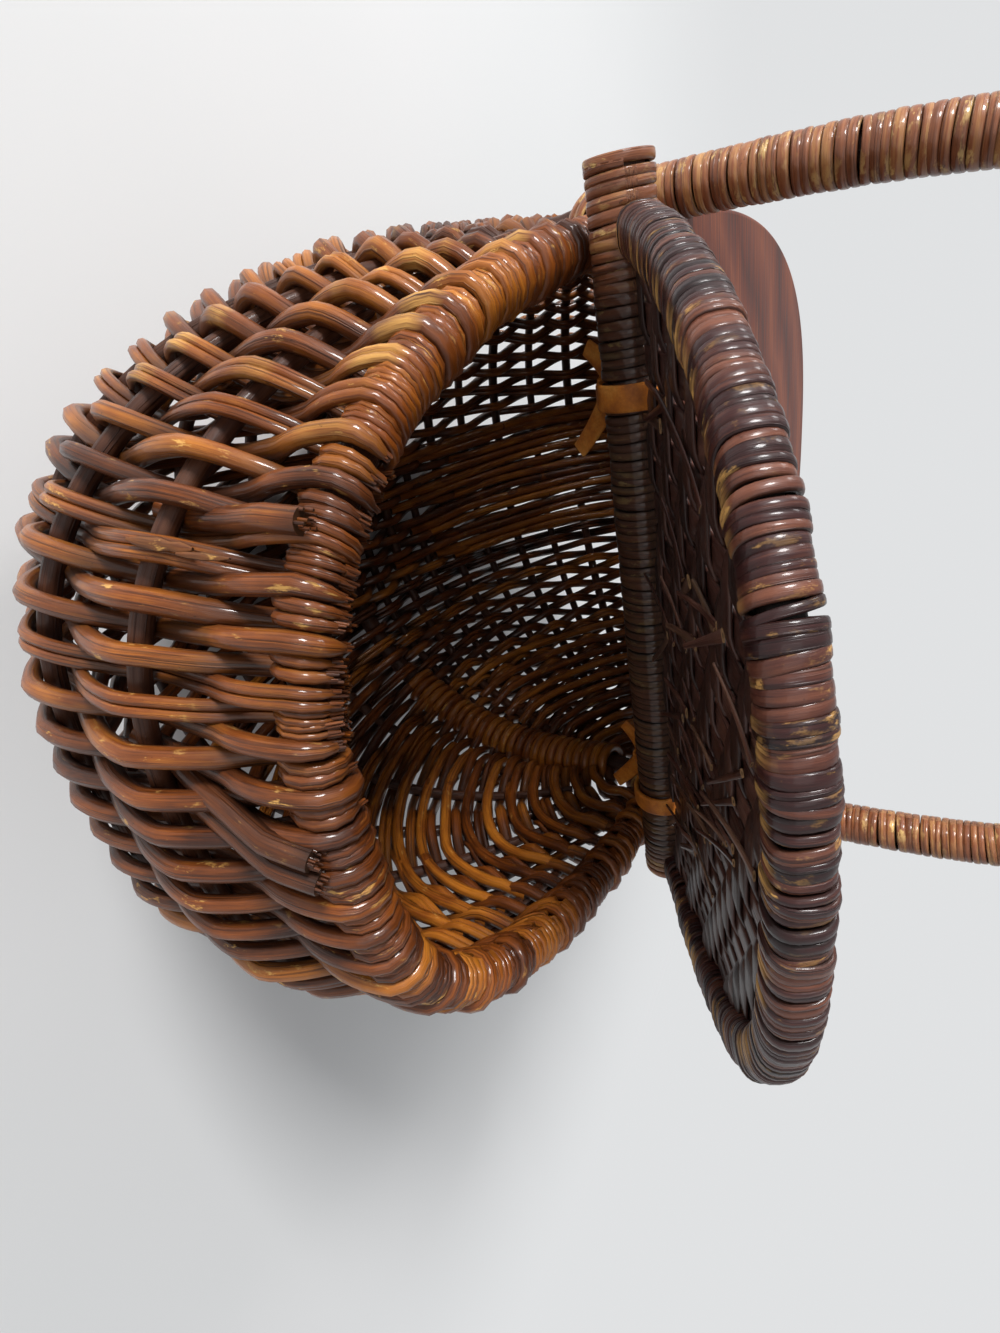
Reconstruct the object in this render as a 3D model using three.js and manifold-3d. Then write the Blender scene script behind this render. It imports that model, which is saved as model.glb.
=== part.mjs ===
// Lidded gathering basket, in millimetres, +Z up, origin at the middle of the base.
// Two hoops cross at the ears: the rim lies flat and the handle hoop stands upright,
// its lower half being the keel. Ribs run from ear to ear between rim and keel, and a
// woven wall is laid over them and rolled round the rim. A wooden deck closes the back
// half of the mouth. The front half has a D-shaped lid that turns on two leather ties.
// X runs from ear to ear and the lid lies at the front, towards -Y.
import * as THREE from 'three';
import { mergeVertices } from 'three/addons/utils/BufferGeometryUtils.js';
import Module from 'manifold-3d';

const wasm = await Module();
wasm.setup();

// Driving dimensions of the body
const CLEARANCE = 0.3;
const RIM_HALF_WIDTH = 102.5;
const RIM_HALF_LENGTH = 170;
const RIM_EXPONENT = 2.6;
const BODY_DEPTH = 171;
const SECTION_EXPONENT = 2.75;
const KEEL_EXPONENT = 3.1;
const BELLY_WIDTH = 12;
const BELLY_LENGTH = 17;
const RIM_ROD = 8;
const RIB_ROD = 6;
const RIB_TIP = 3.2;
const RIBS_PER_SIDE = 6;
const WEAVE_THICKNESS = 4.8;
const WEAVE_RELIEF = 3.6;
const WOVEN_RIB_SPACING = 18;
const BAND_STEP = 1.2;
const BEAD_DIAMETER = 17;
const BASE_TRIM = 2;
const EAR_GAP = 18;
const EAR_GAP_DROP = 8;

// Driving dimensions of the handle hoop
const HANDLE_ROD = 9;
const HANDLE_RISE = 210;
const HANDLE_EXPONENT = 3;
const BINDING_DIAMETER = 15;
const BINDING_START = 19;

// Driving dimensions of the ear lashings
const LASHING_DEPTH = 22;
const LASHING_HEIGHT = 28;
const LASHING_DROP = 6;

// Driving dimensions of the wooden deck
const DECK_THICKNESS = 6;
const DECK_EDGE_ROUND = 1;
const SLOT_INSET = 9;
const NAIL_DIAMETER = 2;
const NAIL_HEAD = 4.4;
const NAIL_HEAD_THICKNESS = 1;
const NAIL_BITE = 10;

// Driving dimensions of the lid
const LID_OPEN_DEGREES = 31.7;
const LID_OVERHANG = 2.5;
const LID_EXPONENT = 2.57;
const HINGE_OFFSET = 48;
const HINGE_ROD = 12;
const HINGE_BINDING = 17;
const HINGE_LEFT_OVERHANG = 14;
const HINGE_RIGHT_OVERHANG = 4;
const LID_LIFT = 2.4;
const LID_CORE_WIDTH = 7;
const LID_CORE_HEIGHT = 6;
const LID_BAND_WIDTH = 12;
const LID_BAND_HEIGHT = 11;
const LID_WEAVE_THICKNESS = 8;
const STAKE_DIAMETER = 4;
const STAKE_MARGIN = 21;
const STAKES_PER_SIDE = 3;

// Driving dimensions of the leather ties
const LEFT_TIE_INSET = 36.5;
const RIGHT_TIE_INSET = 30.5;
const TIE_WIDTH = 7;
const TIE_THICKNESS = 1.6;
const TIE_NOTCH_SLACK = 1.5;
const KNOT_WIDTH = 12;
const KNOT_HEIGHT = 8.4;
const TAIL_LENGTH = 24;
const TAIL_LEAN_DEGREES = 60;

// Counts of facets
const STATIONS = 12;
const STATION_CROWDING = 1.25;
const BEAD_STEPS = 6;
const BOW_STEPS = 20;
const LID_STEPS = 26;
const ROD_SIDES = 8;
const RIB_SIDES = 6;
const BAND_SIDES = 10;

// Sizes that follow from the driving dimensions
const RIB_RADIUS = RIB_ROD / 2;
const RIM_RADIUS = RIM_ROD / 2;
const HANDLE_RADIUS = HANDLE_ROD / 2;
const BEAD_RADIUS = BEAD_DIAMETER / 2;
const WALL_INNER = RIB_RADIUS + CLEARANCE;
const WALL_OUTER = WALL_INNER + WEAVE_THICKNESS;
const RIM_Z = BODY_DEPTH + WALL_OUTER - BASE_TRIM;
const HANDLE_X = RIM_HALF_WIDTH + RIM_RADIUS + CLEARANCE + HANDLE_RADIUS;
const DECK_BOTTOM = RIM_Z + BEAD_RADIUS + CLEARANCE;
const DECK_TOP = DECK_BOTTOM + DECK_THICKNESS;
const DECK_MIDDLE = DECK_BOTTOM + DECK_THICKNESS / 2;
const LID_HALF_WIDTH = RIM_HALF_WIDTH + LID_OVERHANG;
const LID_REACH = RIM_HALF_LENGTH;
const STAKE_SPACING = (LID_HALF_WIDTH - STAKE_MARGIN) / STAKES_PER_SIDE;
const TIE_PLACES = [LEFT_TIE_INSET - RIM_HALF_WIDTH, RIM_HALF_WIDTH - RIGHT_TIE_INSET];
const HINGE_LEFT = -LID_HALF_WIDTH - HINGE_LEFT_OVERHANG;
const HINGE_RIGHT = LID_HALF_WIDTH + HINGE_RIGHT_OVERHANG;
const HINGE_RADIUS = HINGE_BINDING / 2;
const HINGE_Z = RIM_Z + BEAD_RADIUS + CLEARANCE + HINGE_RADIUS;
const HINGE_SEAT = HINGE_RADIUS + CLEARANCE;
const DECK_FRONT = -HINGE_OFFSET + HINGE_RADIUS + CLEARANCE;
const SLOT_Y = DECK_FRONT + SLOT_INSET;

const FULL_TURN = Math.PI * 2;
const KEEL_ANGLE = Math.PI / 2;
const X_AXIS = new THREE.Vector3(1, 0, 0);
const Y_AXIS = new THREE.Vector3(0, 1, 0);
const Z_AXIS = new THREE.Vector3(0, 0, 1);

// Materials
const finish = (color, roughness) => new THREE.MeshStandardMaterial({ color, roughness, metalness: 0 });
const WILLOW = finish(0x8a4a1e, 0.45);
const FRAME_WOOD = finish(0x5a2e14, 0.6);
const CANE = finish(0x7a4436, 0.5);
const LID_CANE = finish(0x6b3a33, 0.45);
const LID_SPLIT = finish(0x3a2222, 0.5);
const BOARD = finish(0x7a4a3c, 0.55);
const LEATHER = finish(0xb5651d, 0.7);
const STEEL = new THREE.MeshStandardMaterial({ color: 0x6e6a64, roughness: 0.4, metalness: 1 });

const group = new THREE.Group();
const lid = new THREE.Group();
lid.position.set(0, -HINGE_OFFSET, HINGE_Z);
lid.rotation.x = -THREE.MathUtils.degToRad(LID_OPEN_DEGREES);
group.add(lid);

function addPiece(parent, name, geometry, material) {
  const mesh = new THREE.Mesh(geometry, material);
  mesh.name = name;
  parent.add(mesh);
  return mesh;
}

// Closed meshes from rows of points

function signedVolume(points, triangles) {
  let total = 0;
  for (let i = 0; i < triangles.length; i += 3) {
    const [a, b, c] = [points[triangles[i]], points[triangles[i + 1]], points[triangles[i + 2]]];
    total += a.dot(new THREE.Vector3().crossVectors(b, c));
  }
  return total;
}

function closedGeometry(points, triangles) {
  const order = [...triangles];
  if (signedVolume(points, triangles) < 0) order.reverse();
  const geometry = new THREE.BufferGeometry().setFromPoints(points);
  geometry.setIndex(order);
  geometry.computeVertexNormals();
  return geometry;
}

// Two triangles for each cell between neighbouring rows, which start at the given indices
function stitch(triangles, rowA, rowB, count, closed) {
  const cells = closed ? count : count - 1;
  for (let i = 0; i < cells; i += 1) {
    const next = (i + 1) % count;
    triangles.push(rowA + i, rowA + next, rowB + next);
    triangles.push(rowA + i, rowB + next, rowB + i);
  }
}

function fan(triangles, row, count, flip) {
  for (let i = 1; i < count - 1; i += 1) {
    triangles.push(row, row + (flip ? i + 1 : i), row + (flip ? i : i + 1));
  }
}

// A rod through rings of points, with flat ends or joined into a hoop
function rodThrough(rings, joined) {
  const sides = rings[0].length;
  const points = rings.flat();
  const triangles = [];
  for (let j = 0; j + 1 < rings.length; j += 1) stitch(triangles, j * sides, (j + 1) * sides, sides, true);
  const last = (rings.length - 1) * sides;
  if (joined) {
    stitch(triangles, last, 0, sides, true);
  } else {
    fan(triangles, 0, sides, true);
    fan(triangles, last, sides, false);
  }
  return closedGeometry(points, triangles);
}

// A sleeve: outer rings, bore rings and a flat ring at each end
function sleeveThrough(outerRings, boreRings) {
  const sides = outerRings[0].length;
  const rows = outerRings.length;
  const bore = rows * sides;
  const points = [...outerRings.flat(), ...boreRings.flat()];
  const triangles = [];
  for (let j = 0; j + 1 < rows; j += 1) {
    stitch(triangles, j * sides, (j + 1) * sides, sides, true);
    stitch(triangles, bore + (j + 1) * sides, bore + j * sides, sides, true);
  }
  stitch(triangles, bore, 0, sides, true);
  stitch(triangles, (rows - 1) * sides, bore + (rows - 1) * sides, sides, true);
  return closedGeometry(points, triangles);
}

// A thick sheet: two grids of points, closed along all four edges
function sheetBetween(outerRows, innerRows) {
  const count = outerRows[0].length;
  const rows = outerRows.length;
  const inner = rows * count;
  const points = [...outerRows.flat(), ...innerRows.flat()];
  const triangles = [];
  for (let j = 0; j + 1 < rows; j += 1) {
    const [here, next] = [j * count, (j + 1) * count];
    stitch(triangles, here, next, count, false);
    stitch(triangles, inner + next, inner + here, count, false);
    for (const edge of [0, count - 1]) {
      const corners = [here + edge, next + edge, inner + next + edge, inner + here + edge];
      if (edge > 0) corners.reverse();
      triangles.push(corners[0], corners[1], corners[2], corners[0], corners[2], corners[3]);
    }
  }
  stitch(triangles, inner, 0, count, false);
  stitch(triangles, (rows - 1) * count, inner + (rows - 1) * count, count, false);
  return closedGeometry(points, triangles);
}

// A ring of points about a centre, from a section of pairs along two directions
function ringAt(center, across, up, section) {
  return section.map(([n, u]) => center.clone().addScaledVector(across, n).addScaledVector(up, u));
}

function roundSection(radius, sides) {
  return Array.from({ length: sides }, (_, i) => {
    const angle = (FULL_TURN * (i + 0.5)) / sides;
    return [radius * Math.cos(angle), radius * Math.sin(angle)];
  });
}

const signedPower = (value, exponent) => Math.sign(value) * Math.abs(value) ** exponent;

function softBoxSection(width, height, sides) {
  const squareness = 2 / 3.2;
  return Array.from({ length: sides }, (_, i) => {
    const angle = (FULL_TURN * (i + 0.5)) / sides;
    return [(width / 2) * signedPower(Math.cos(angle), squareness),
      (height / 2) * signedPower(Math.sin(angle), squareness)];
  });
}

// Joining and cutting of closed solids

function toSolid(geometry) {
  const bare = geometry.clone();
  bare.deleteAttribute('normal');
  bare.deleteAttribute('uv');
  const merged = mergeVertices(bare, 1e-4);
  return new wasm.Manifold(new wasm.Mesh({
    numProp: 3,
    vertProperties: new Float32Array(merged.attributes.position.array),
    triVerts: new Uint32Array(merged.index.array),
  }));
}

function toGeometry(solid) {
  const mesh = solid.getMesh();
  const geometry = new THREE.BufferGeometry();
  geometry.setAttribute('position', new THREE.BufferAttribute(new Float32Array(mesh.vertProperties), 3));
  geometry.setIndex(new THREE.BufferAttribute(new Uint32Array(mesh.triVerts), 1));
  geometry.computeVertexNormals();
  return geometry;
}

const cut = (geometry, tools) => toGeometry(tools.reduce((s, tool) => s.subtract(toSolid(tool)), toSolid(geometry)));
const join = (pieces) => toGeometry(pieces.slice(1).reduce((s, piece) => s.add(toSolid(piece)), toSolid(pieces[0])));

// The surface that the ribs lie on. Theta runs along a rib from the right ear to the left,
// and phi runs round the body from the front rim, under the keel, to the back rim.

function ribExponent(phi) {
  return RIM_EXPONENT + (KEEL_EXPONENT - RIM_EXPONENT) * Math.sin(phi) ** 2;
}

function sectionRadius(phi) {
  const across = Math.abs(Math.cos(phi) / RIM_HALF_LENGTH) ** SECTION_EXPONENT;
  const down = Math.abs(Math.sin(phi) / BODY_DEPTH) ** SECTION_EXPONENT;
  return (across + down) ** (-1 / SECTION_EXPONENT);
}

function bodyPoint(theta, phi) {
  const exponent = 2 / ribExponent(phi);
  const along = signedPower(Math.cos(theta), exponent);
  const reach = sectionRadius(phi) * Math.abs(Math.sin(theta)) ** exponent;
  const depth = Math.min((reach * Math.sin(phi)) / BODY_DEPTH, 1);
  const belly = 4 * depth * (1 - depth);
  return new THREE.Vector3(
    along * (RIM_HALF_WIDTH + BELLY_WIDTH * belly),
    -reach * Math.cos(phi) * (1 + (BELLY_LENGTH / RIM_HALF_LENGTH) * belly),
    RIM_Z - reach * Math.sin(phi),
  );
}

// Outward direction, and the direction up the wall, at a point of that surface
function bodyFrame(theta, phi) {
  const step = 1e-4;
  const along = bodyPoint(theta + step, phi).sub(bodyPoint(theta - step, phi)).normalize();
  const around = bodyPoint(theta, phi + step).sub(bodyPoint(theta, phi - step)).normalize();
  const out = new THREE.Vector3().crossVectors(along, around).normalize();
  const middle = new THREE.Vector3(0, 0, RIM_Z - BODY_DEPTH / 2);
  if (out.dot(bodyPoint(theta, phi).sub(middle)) < 0) out.negate();
  const up = new THREE.Vector3().crossVectors(out, along).normalize();
  if (up.z < 0) up.negate();
  return { out, up };
}

// Radius, seen along X, of the gap in the weave where the hoops cross at an ear
function earGap(phi) {
  return EAR_GAP + EAR_GAP_DROP * Math.sin(phi) ** 2;
}

// Theta of a station between the right ear, station 0, and the middle of the body
function stationTheta(station, phi) {
  const first = Math.asin((earGap(phi) / sectionRadius(phi)) ** (ribExponent(phi) / 2));
  return first + (Math.PI / 2 - first) * (station / STATIONS) ** STATION_CROWDING;
}

const RIB_STEP = KEEL_ANGLE / (RIBS_PER_SIDE + 1);

// The angles round the body at which the wall has a row, from the front bead to the back one
function wallAngles(station) {
  const reach = RIM_HALF_LENGTH * Math.sin(stationTheta(station, 0)) ** (2 / RIM_EXPONENT);
  const first = Math.asin(Math.min((BEAD_RADIUS * 0.65) / reach, 0.5));
  const spread = 0.03;
  const front = [first];
  for (let i = 1; i <= RIBS_PER_SIDE; i += 1) front.push(Math.max(i * RIB_STEP, first + i * spread));
  const back = front.map((phi) => Math.PI - phi).reverse();
  return [...front, KEEL_ANGLE, ...back];
}

// Section of the weave rolled over the rim, from its tip inside to where the wall begins
function beadArc(radius, wallOffset) {
  const tip = THREE.MathUtils.degToRad(235);
  const foot = -Math.acos(Math.min(wallOffset / radius, 1));
  return Array.from({ length: BEAD_STEPS + 1 }, (_, i) => {
    const angle = tip + ((foot - tip) * i) / BEAD_STEPS;
    return [radius * Math.cos(angle), radius * Math.sin(angle)];
  });
}

const BEAD_BORE = (RIM_RADIUS + CLEARANCE) / Math.cos(Math.PI / (BEAD_STEPS + 1));

// A band of the weave lies between neighbouring stations. Where the ribs stand far enough apart,
// it rises over one rib and sinks at the next, out of step with the bands beside it.
function ribSpacing(station) {
  return RIM_HALF_LENGTH * Math.sin(stationTheta(station, 0)) ** (2 / RIM_EXPONENT) * RIB_STEP;
}

const BANDS = Array.from({ length: STATIONS }, (_, band) => band);
const FIRST_WOVEN_BAND = BANDS.find((band) => ribSpacing(band) >= WOVEN_RIB_SPACING) ?? STATIONS;

function bandSinks(row, band, phase) {
  const lastRow = 2 * RIBS_PER_SIDE + 2;
  return band >= FIRST_WOVEN_BAND && row > 0 && row < lastRow && (row + band + phase) % 2 === 1;
}

// Theta from the middle of the step between two bands to its edge
function stepAngle(theta, phi) {
  const step = 1e-4;
  const length = bodyPoint(theta + step, phi).distanceTo(bodyPoint(theta - step, phi));
  return (BAND_STEP / 2) * ((2 * step) / length);
}

// Points along an edge of a band from bead to bead. The flat base has no relief.
function wallRow({ station, edge, band }, radius, offset, relief, phase) {
  const thetaAt = (phi) => {
    const theta = stationTheta(station, phi);
    return theta + edge * stepAngle(theta, phi);
  };
  const rolled = (phi) => {
    const theta = thetaAt(phi);
    const { out, up } = bodyFrame(theta, phi);
    return ringAt(bodyPoint(theta, phi), out, up, beadArc(radius, offset));
  };
  const wall = wallAngles(station).map((phi, row) => {
    const theta = thetaAt(phi);
    const { out } = bodyFrame(theta, phi);
    const point = bodyPoint(theta, phi).addScaledVector(out, offset);
    if (point.z > 0 && bandSinks(row, band, phase)) point.addScaledVector(out, -relief);
    point.z = Math.max(point.z, 0);
    return point;
  });
  const row = [...rolled(0), ...wall, ...rolled(Math.PI).reverse()];
  if (station === STATIONS) row.forEach((point) => { point.x = CLEARANCE / 2; });
  return row;
}

// Edges of the bands from an ear to the middle. A woven band has its own edge on each side of a step.
function bandEdges() {
  const edges = [];
  for (let station = 0; station <= STATIONS; station += 1) {
    if (station >= FIRST_WOVEN_BAND && station < STATIONS) {
      edges.push({ station, edge: -1, band: station - 1 }, { station, edge: 1, band: station });
    } else {
      edges.push({ station, edge: 0, band: Math.min(station, STATIONS - 1) });
    }
  }
  return edges;
}

// The weave is worked from both ears and meets in the middle, with the two halves out of step
function buildWalls() {
  for (const [side, sign, phase] of [['right', 1, 0], ['left', -1, 1]]) {
    const face = (radius, offset, relief) => bandEdges().map((edge) => (
      wallRow(edge, radius, offset, relief, phase).map((point) => point.setX(point.x * sign))));
    const outer = face(BEAD_RADIUS, WALL_OUTER, WEAVE_RELIEF);
    const inner = face(BEAD_BORE, WALL_INNER, 0);
    addPiece(group, `woven_wall_${side}`, sheetBetween(outer, inner), WILLOW);
  }
}

// Stations along a whole rib, from the right ear to the left, starting at the given station
function ribThetas(phi, start) {
  const half = [];
  for (let station = start; station <= STATIONS; station += 1) half.push(stationTheta(station, phi));
  return [...half, ...half.slice(0, -1).reverse().map((theta) => Math.PI - theta)];
}

function buildRibs() {
  const section = roundSection(1, RIB_SIDES);
  for (let i = 1; i <= RIBS_PER_SIDE; i += 1) {
    for (const [side, phi] of [['front', i * RIB_STEP], ['back', Math.PI - i * RIB_STEP]]) {
      const thetas = ribThetas(phi, i === 1 ? 3 : 1);
      const rings = thetas.map((theta, k) => {
        const fromEnd = Math.min(k, thetas.length - 1 - k);
        const radius = fromEnd === 0 ? RIB_TIP / 2 : RIB_RADIUS;
        const { out, up } = bodyFrame(theta, phi);
        return ringAt(bodyPoint(theta, phi), out, up, section.map(([n, u]) => [n * radius, u * radius]));
      });
      addPiece(group, `rib_${side}_${i}`, rodThrough(rings, false), FRAME_WOOD);
    }
  }
}

function rimHoop(radius) {
  const section = roundSection(radius, ROD_SIDES);
  const ear = (sign) => ringAt(new THREE.Vector3(sign * RIM_HALF_WIDTH, 0, RIM_Z), X_AXIS.clone()
    .multiplyScalar(sign), Z_AXIS, section);
  const side = (phi) => ribThetas(phi, 0).map((theta) => {
    const { out, up } = bodyFrame(theta, phi);
    return ringAt(bodyPoint(theta, phi), out, up, section);
  });
  return rodThrough([ear(1), ...side(0), ear(-1), ...side(Math.PI).reverse()], true);
}

// The bow of the handle, above the rim, from the right leg over to the left
function bowThetas() {
  const start = Math.asin((BINDING_START / HANDLE_RISE) ** (HANDLE_EXPONENT / 2));
  return Array.from({ length: BOW_STEPS + 1 }, (_, i) => start + ((Math.PI - 2 * start) * i) / BOW_STEPS);
}

function bowPoint(theta) {
  return new THREE.Vector3(
    HANDLE_X * signedPower(Math.cos(theta), 2 / HANDLE_EXPONENT),
    0,
    RIM_Z + HANDLE_RISE * Math.abs(Math.sin(theta)) ** (2 / HANDLE_EXPONENT),
  );
}

function bowRing(theta, section) {
  const step = 1e-4;
  const along = bowPoint(theta + step).sub(bowPoint(theta - step)).normalize();
  return ringAt(bowPoint(theta), new THREE.Vector3().crossVectors(Y_AXIS, along).normalize(), Y_AXIS, section);
}

// The whole hoop: the bow, then each leg past the rim and the keel on the ribs' surface
function handleHoop(radius) {
  const section = roundSection(radius, ROD_SIDES);
  const sunk = HANDLE_RADIUS - RIB_RADIUS;
  const crossing = (sign) => ringAt(new THREE.Vector3(sign * HANDLE_X, 0, RIM_Z), X_AXIS.clone()
    .multiplyScalar(sign), Y_AXIS, section);
  const bow = bowThetas().map((theta) => bowRing(theta, section));
  const keel = ribThetas(KEEL_ANGLE, 0).reverse().map((theta) => {
    const { out } = bodyFrame(theta, KEEL_ANGLE);
    const center = bodyPoint(theta, KEEL_ANGLE).addScaledVector(out, -sunk);
    return ringAt(center, out, Y_AXIS, section);
  });
  return rodThrough([crossing(1), ...bow, crossing(-1), ...keel], true);
}

function handleBinding() {
  const bore = (HANDLE_RADIUS + CLEARANCE);
  const outer = bowThetas().map((theta) => bowRing(theta, roundSection(BINDING_DIAMETER / 2, ROD_SIDES)));
  const inner = bowThetas().map((theta) => bowRing(theta, roundSection(bore, ROD_SIDES)));
  return sleeveThrough(outer, inner);
}

// The lashing that holds rim, handle and rib ends together at an ear
function earLashing(sign) {
  const facetSlack = 1 / Math.cos(Math.PI / ROD_SIDES);
  const knot = new THREE.SphereGeometry(0.5, 12, 8);
  knot.scale(LASHING_DEPTH, 2 * (EAR_GAP - 5 * CLEARANCE), LASHING_HEIGHT);
  knot.translate((sign * (RIM_HALF_WIDTH + HANDLE_X)) / 2, 0, RIM_Z - LASHING_DROP);
  return cut(knot, [
    rimHoop((RIM_RADIUS + CLEARANCE) * facetSlack),
    handleHoop((HANDLE_RADIUS + CLEARANCE) * facetSlack),
  ]);
}

function cylinderAlong(axis, radius, length, center, sides = ROD_SIDES) {
  const geometry = new THREE.CylinderGeometry(radius, radius, length, sides);
  geometry.applyQuaternion(new THREE.Quaternion().setFromUnitVectors(Y_AXIS, axis));
  geometry.translate(center.x, center.y, center.z);
  return geometry;
}

// Nail through a leg of the handle into the edge of the deck
function nailHole(sign) {
  const length = NAIL_BITE + HANDLE_ROD + 4 * CLEARANCE + NAIL_HEAD_THICKNESS;
  const inner = HANDLE_X - HANDLE_RADIUS - NAIL_BITE - 2 * CLEARANCE;
  const center = new THREE.Vector3(sign * (inner + length / 2), 0, DECK_MIDDLE);
  return cylinderAlong(X_AXIS, NAIL_DIAMETER / 2 + CLEARANCE, length, center);
}

function deckNail(sign) {
  const tip = HANDLE_X - HANDLE_RADIUS - NAIL_BITE;
  const head = HANDLE_X + HANDLE_RADIUS + CLEARANCE;
  const profile = [[0, tip], [NAIL_DIAMETER / 2, tip + NAIL_DIAMETER], [NAIL_DIAMETER / 2, head],
    [NAIL_HEAD / 2, head], [NAIL_HEAD / 2, head + NAIL_HEAD_THICKNESS], [0, head + NAIL_HEAD_THICKNESS]];
  const nail = new THREE.LatheGeometry(profile.map(([r, y]) => new THREE.Vector2(r, y)), ROD_SIDES);
  nail.applyQuaternion(new THREE.Quaternion().setFromUnitVectors(Y_AXIS, X_AXIS.clone().multiplyScalar(sign)));
  nail.translate(0, 0, DECK_MIDDLE);
  return nail;
}

// A board of the rim's shape behind the hinge line, slotted for the ties
function deckBoard() {
  const halfWidth = HANDLE_X - HANDLE_RADIUS - CLEARANCE;
  const edgeAt = (angle) => new THREE.Vector2(
    halfWidth * signedPower(Math.cos(angle), 2 / RIM_EXPONENT),
    RIM_HALF_LENGTH * signedPower(Math.sin(angle), 2 / RIM_EXPONENT),
  );
  const corner = Math.asin((DECK_FRONT / -RIM_HALF_LENGTH) ** (RIM_EXPONENT / 2));
  const outline = [];
  for (let i = 0; i <= LID_STEPS; i += 1) outline.push(edgeAt(-corner + ((Math.PI + 2 * corner) * i) / LID_STEPS));
  const board = new THREE.ExtrudeGeometry(new THREE.Shape(outline), {
    depth: DECK_THICKNESS - 2 * DECK_EDGE_ROUND,
    bevelThickness: DECK_EDGE_ROUND,
    bevelSize: DECK_EDGE_ROUND,
    bevelOffset: -DECK_EDGE_ROUND,
    bevelSegments: 2,
  });
  board.translate(0, 0, DECK_BOTTOM + DECK_EDGE_ROUND);
  const slots = TIE_PLACES.map((x) => {
    const slot = new THREE.BoxGeometry(TIE_WIDTH + 2 * CLEARANCE, TIE_THICKNESS + 2 * CLEARANCE, 2 * DECK_THICKNESS);
    slot.translate(x, SLOT_Y + TIE_THICKNESS / 2, DECK_MIDDLE);
    return slot;
  });
  return cut(board, [...slots, nailHole(1), nailHole(-1)]);
}

// Lid, drawn closed about the hinge line as its origin

function lidPoint(angle) {
  return new THREE.Vector3(
    LID_HALF_WIDTH * signedPower(Math.cos(angle), 2 / LID_EXPONENT),
    HINGE_OFFSET - LID_REACH * Math.abs(Math.sin(angle)) ** (2 / LID_EXPONENT),
    LID_LIFT,
  );
}

function lidAngles() {
  const start = Math.asin(((HINGE_OFFSET + HINGE_SEAT) / LID_REACH) ** (LID_EXPONENT / 2));
  return Array.from({ length: LID_STEPS + 1 }, (_, i) => start + ((Math.PI - 2 * start) * i) / LID_STEPS);
}

// Direction out of the lid's edge; the two ends are square to the hinge line
function lidOut(index) {
  if (index === 0) return X_AXIS.clone();
  if (index === LID_STEPS) return X_AXIS.clone().negate();
  const angle = lidAngles()[index];
  const step = 1e-4;
  const along = lidPoint(angle + step).sub(lidPoint(angle - step));
  return new THREE.Vector3().crossVectors(Z_AXIS, along).normalize();
}

function lidRings(width, height) {
  const section = softBoxSection(width, height, BAND_SIDES);
  return lidAngles().map((angle, i) => ringAt(lidPoint(angle), lidOut(i), Z_AXIS, section));
}

function lidInnerOutline() {
  const inset = LID_BAND_WIDTH / 2 + CLEARANCE;
  return lidAngles().map((angle, i) => lidPoint(angle).addScaledVector(lidOut(i), -inset));
}

function stakePlaces() {
  return Array.from({ length: 2 * STAKES_PER_SIDE + 1 }, (_, i) => (i - STAKES_PER_SIDE) * STAKE_SPACING);
}

// Where a line along Y at the given x meets the inner outline of the lid's band
function lidReachAt(x) {
  const outline = lidInnerOutline();
  const index = outline.findIndex((point) => point.x <= x);
  const [a, b] = [outline[index - 1], outline[index]];
  return THREE.MathUtils.lerp(a.y, b.y, (a.x - x) / (a.x - b.x));
}

// The woven panel, notched for the ties and run through by the stakes
function lidWeave() {
  const shape = new THREE.Shape(lidInnerOutline().map((point) => new THREE.Vector2(point.x, point.y)));
  const panel = new THREE.ExtrudeGeometry(shape, { depth: LID_WEAVE_THICKNESS, bevelEnabled: false });
  panel.translate(0, 0, LID_LIFT - LID_WEAVE_THICKNESS / 2);
  const notchDepth = TIE_THICKNESS + 2 * TIE_NOTCH_SLACK;
  const notches = TIE_PLACES.map((x) => {
    const notch = new THREE.BoxGeometry(TIE_WIDTH + 2 * TIE_NOTCH_SLACK, 2 * notchDepth, 4 * LID_WEAVE_THICKNESS);
    notch.translate(x, -HINGE_SEAT, LID_LIFT);
    return notch;
  });
  const bores = stakePlaces().map((x) => cylinderAlong(Y_AXIS, STAKE_DIAMETER / 2 + CLEARANCE, 2 * LID_REACH,
    new THREE.Vector3(x, -LID_REACH / 2, LID_LIFT)));
  return cut(panel, [...notches, ...bores]);
}

function lidStake(x) {
  const far = lidReachAt(x) + STAKE_DIAMETER;
  const length = -HINGE_SEAT - far;
  return cylinderAlong(Y_AXIS, STAKE_DIAMETER / 2, length, new THREE.Vector3(x, far + length / 2, LID_LIFT));
}

function hingeSleeve() {
  const ends = [HINGE_LEFT, HINGE_RIGHT];
  const ring = (radius) => ends.map((x) => ringAt(new THREE.Vector3(x, 0, 0), Y_AXIS, Z_AXIS,
    roundSection(radius, 2 * ROD_SIDES)));
  return sleeveThrough(ring(HINGE_RADIUS), ring(HINGE_ROD / 2 + CLEARANCE));
}

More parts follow.
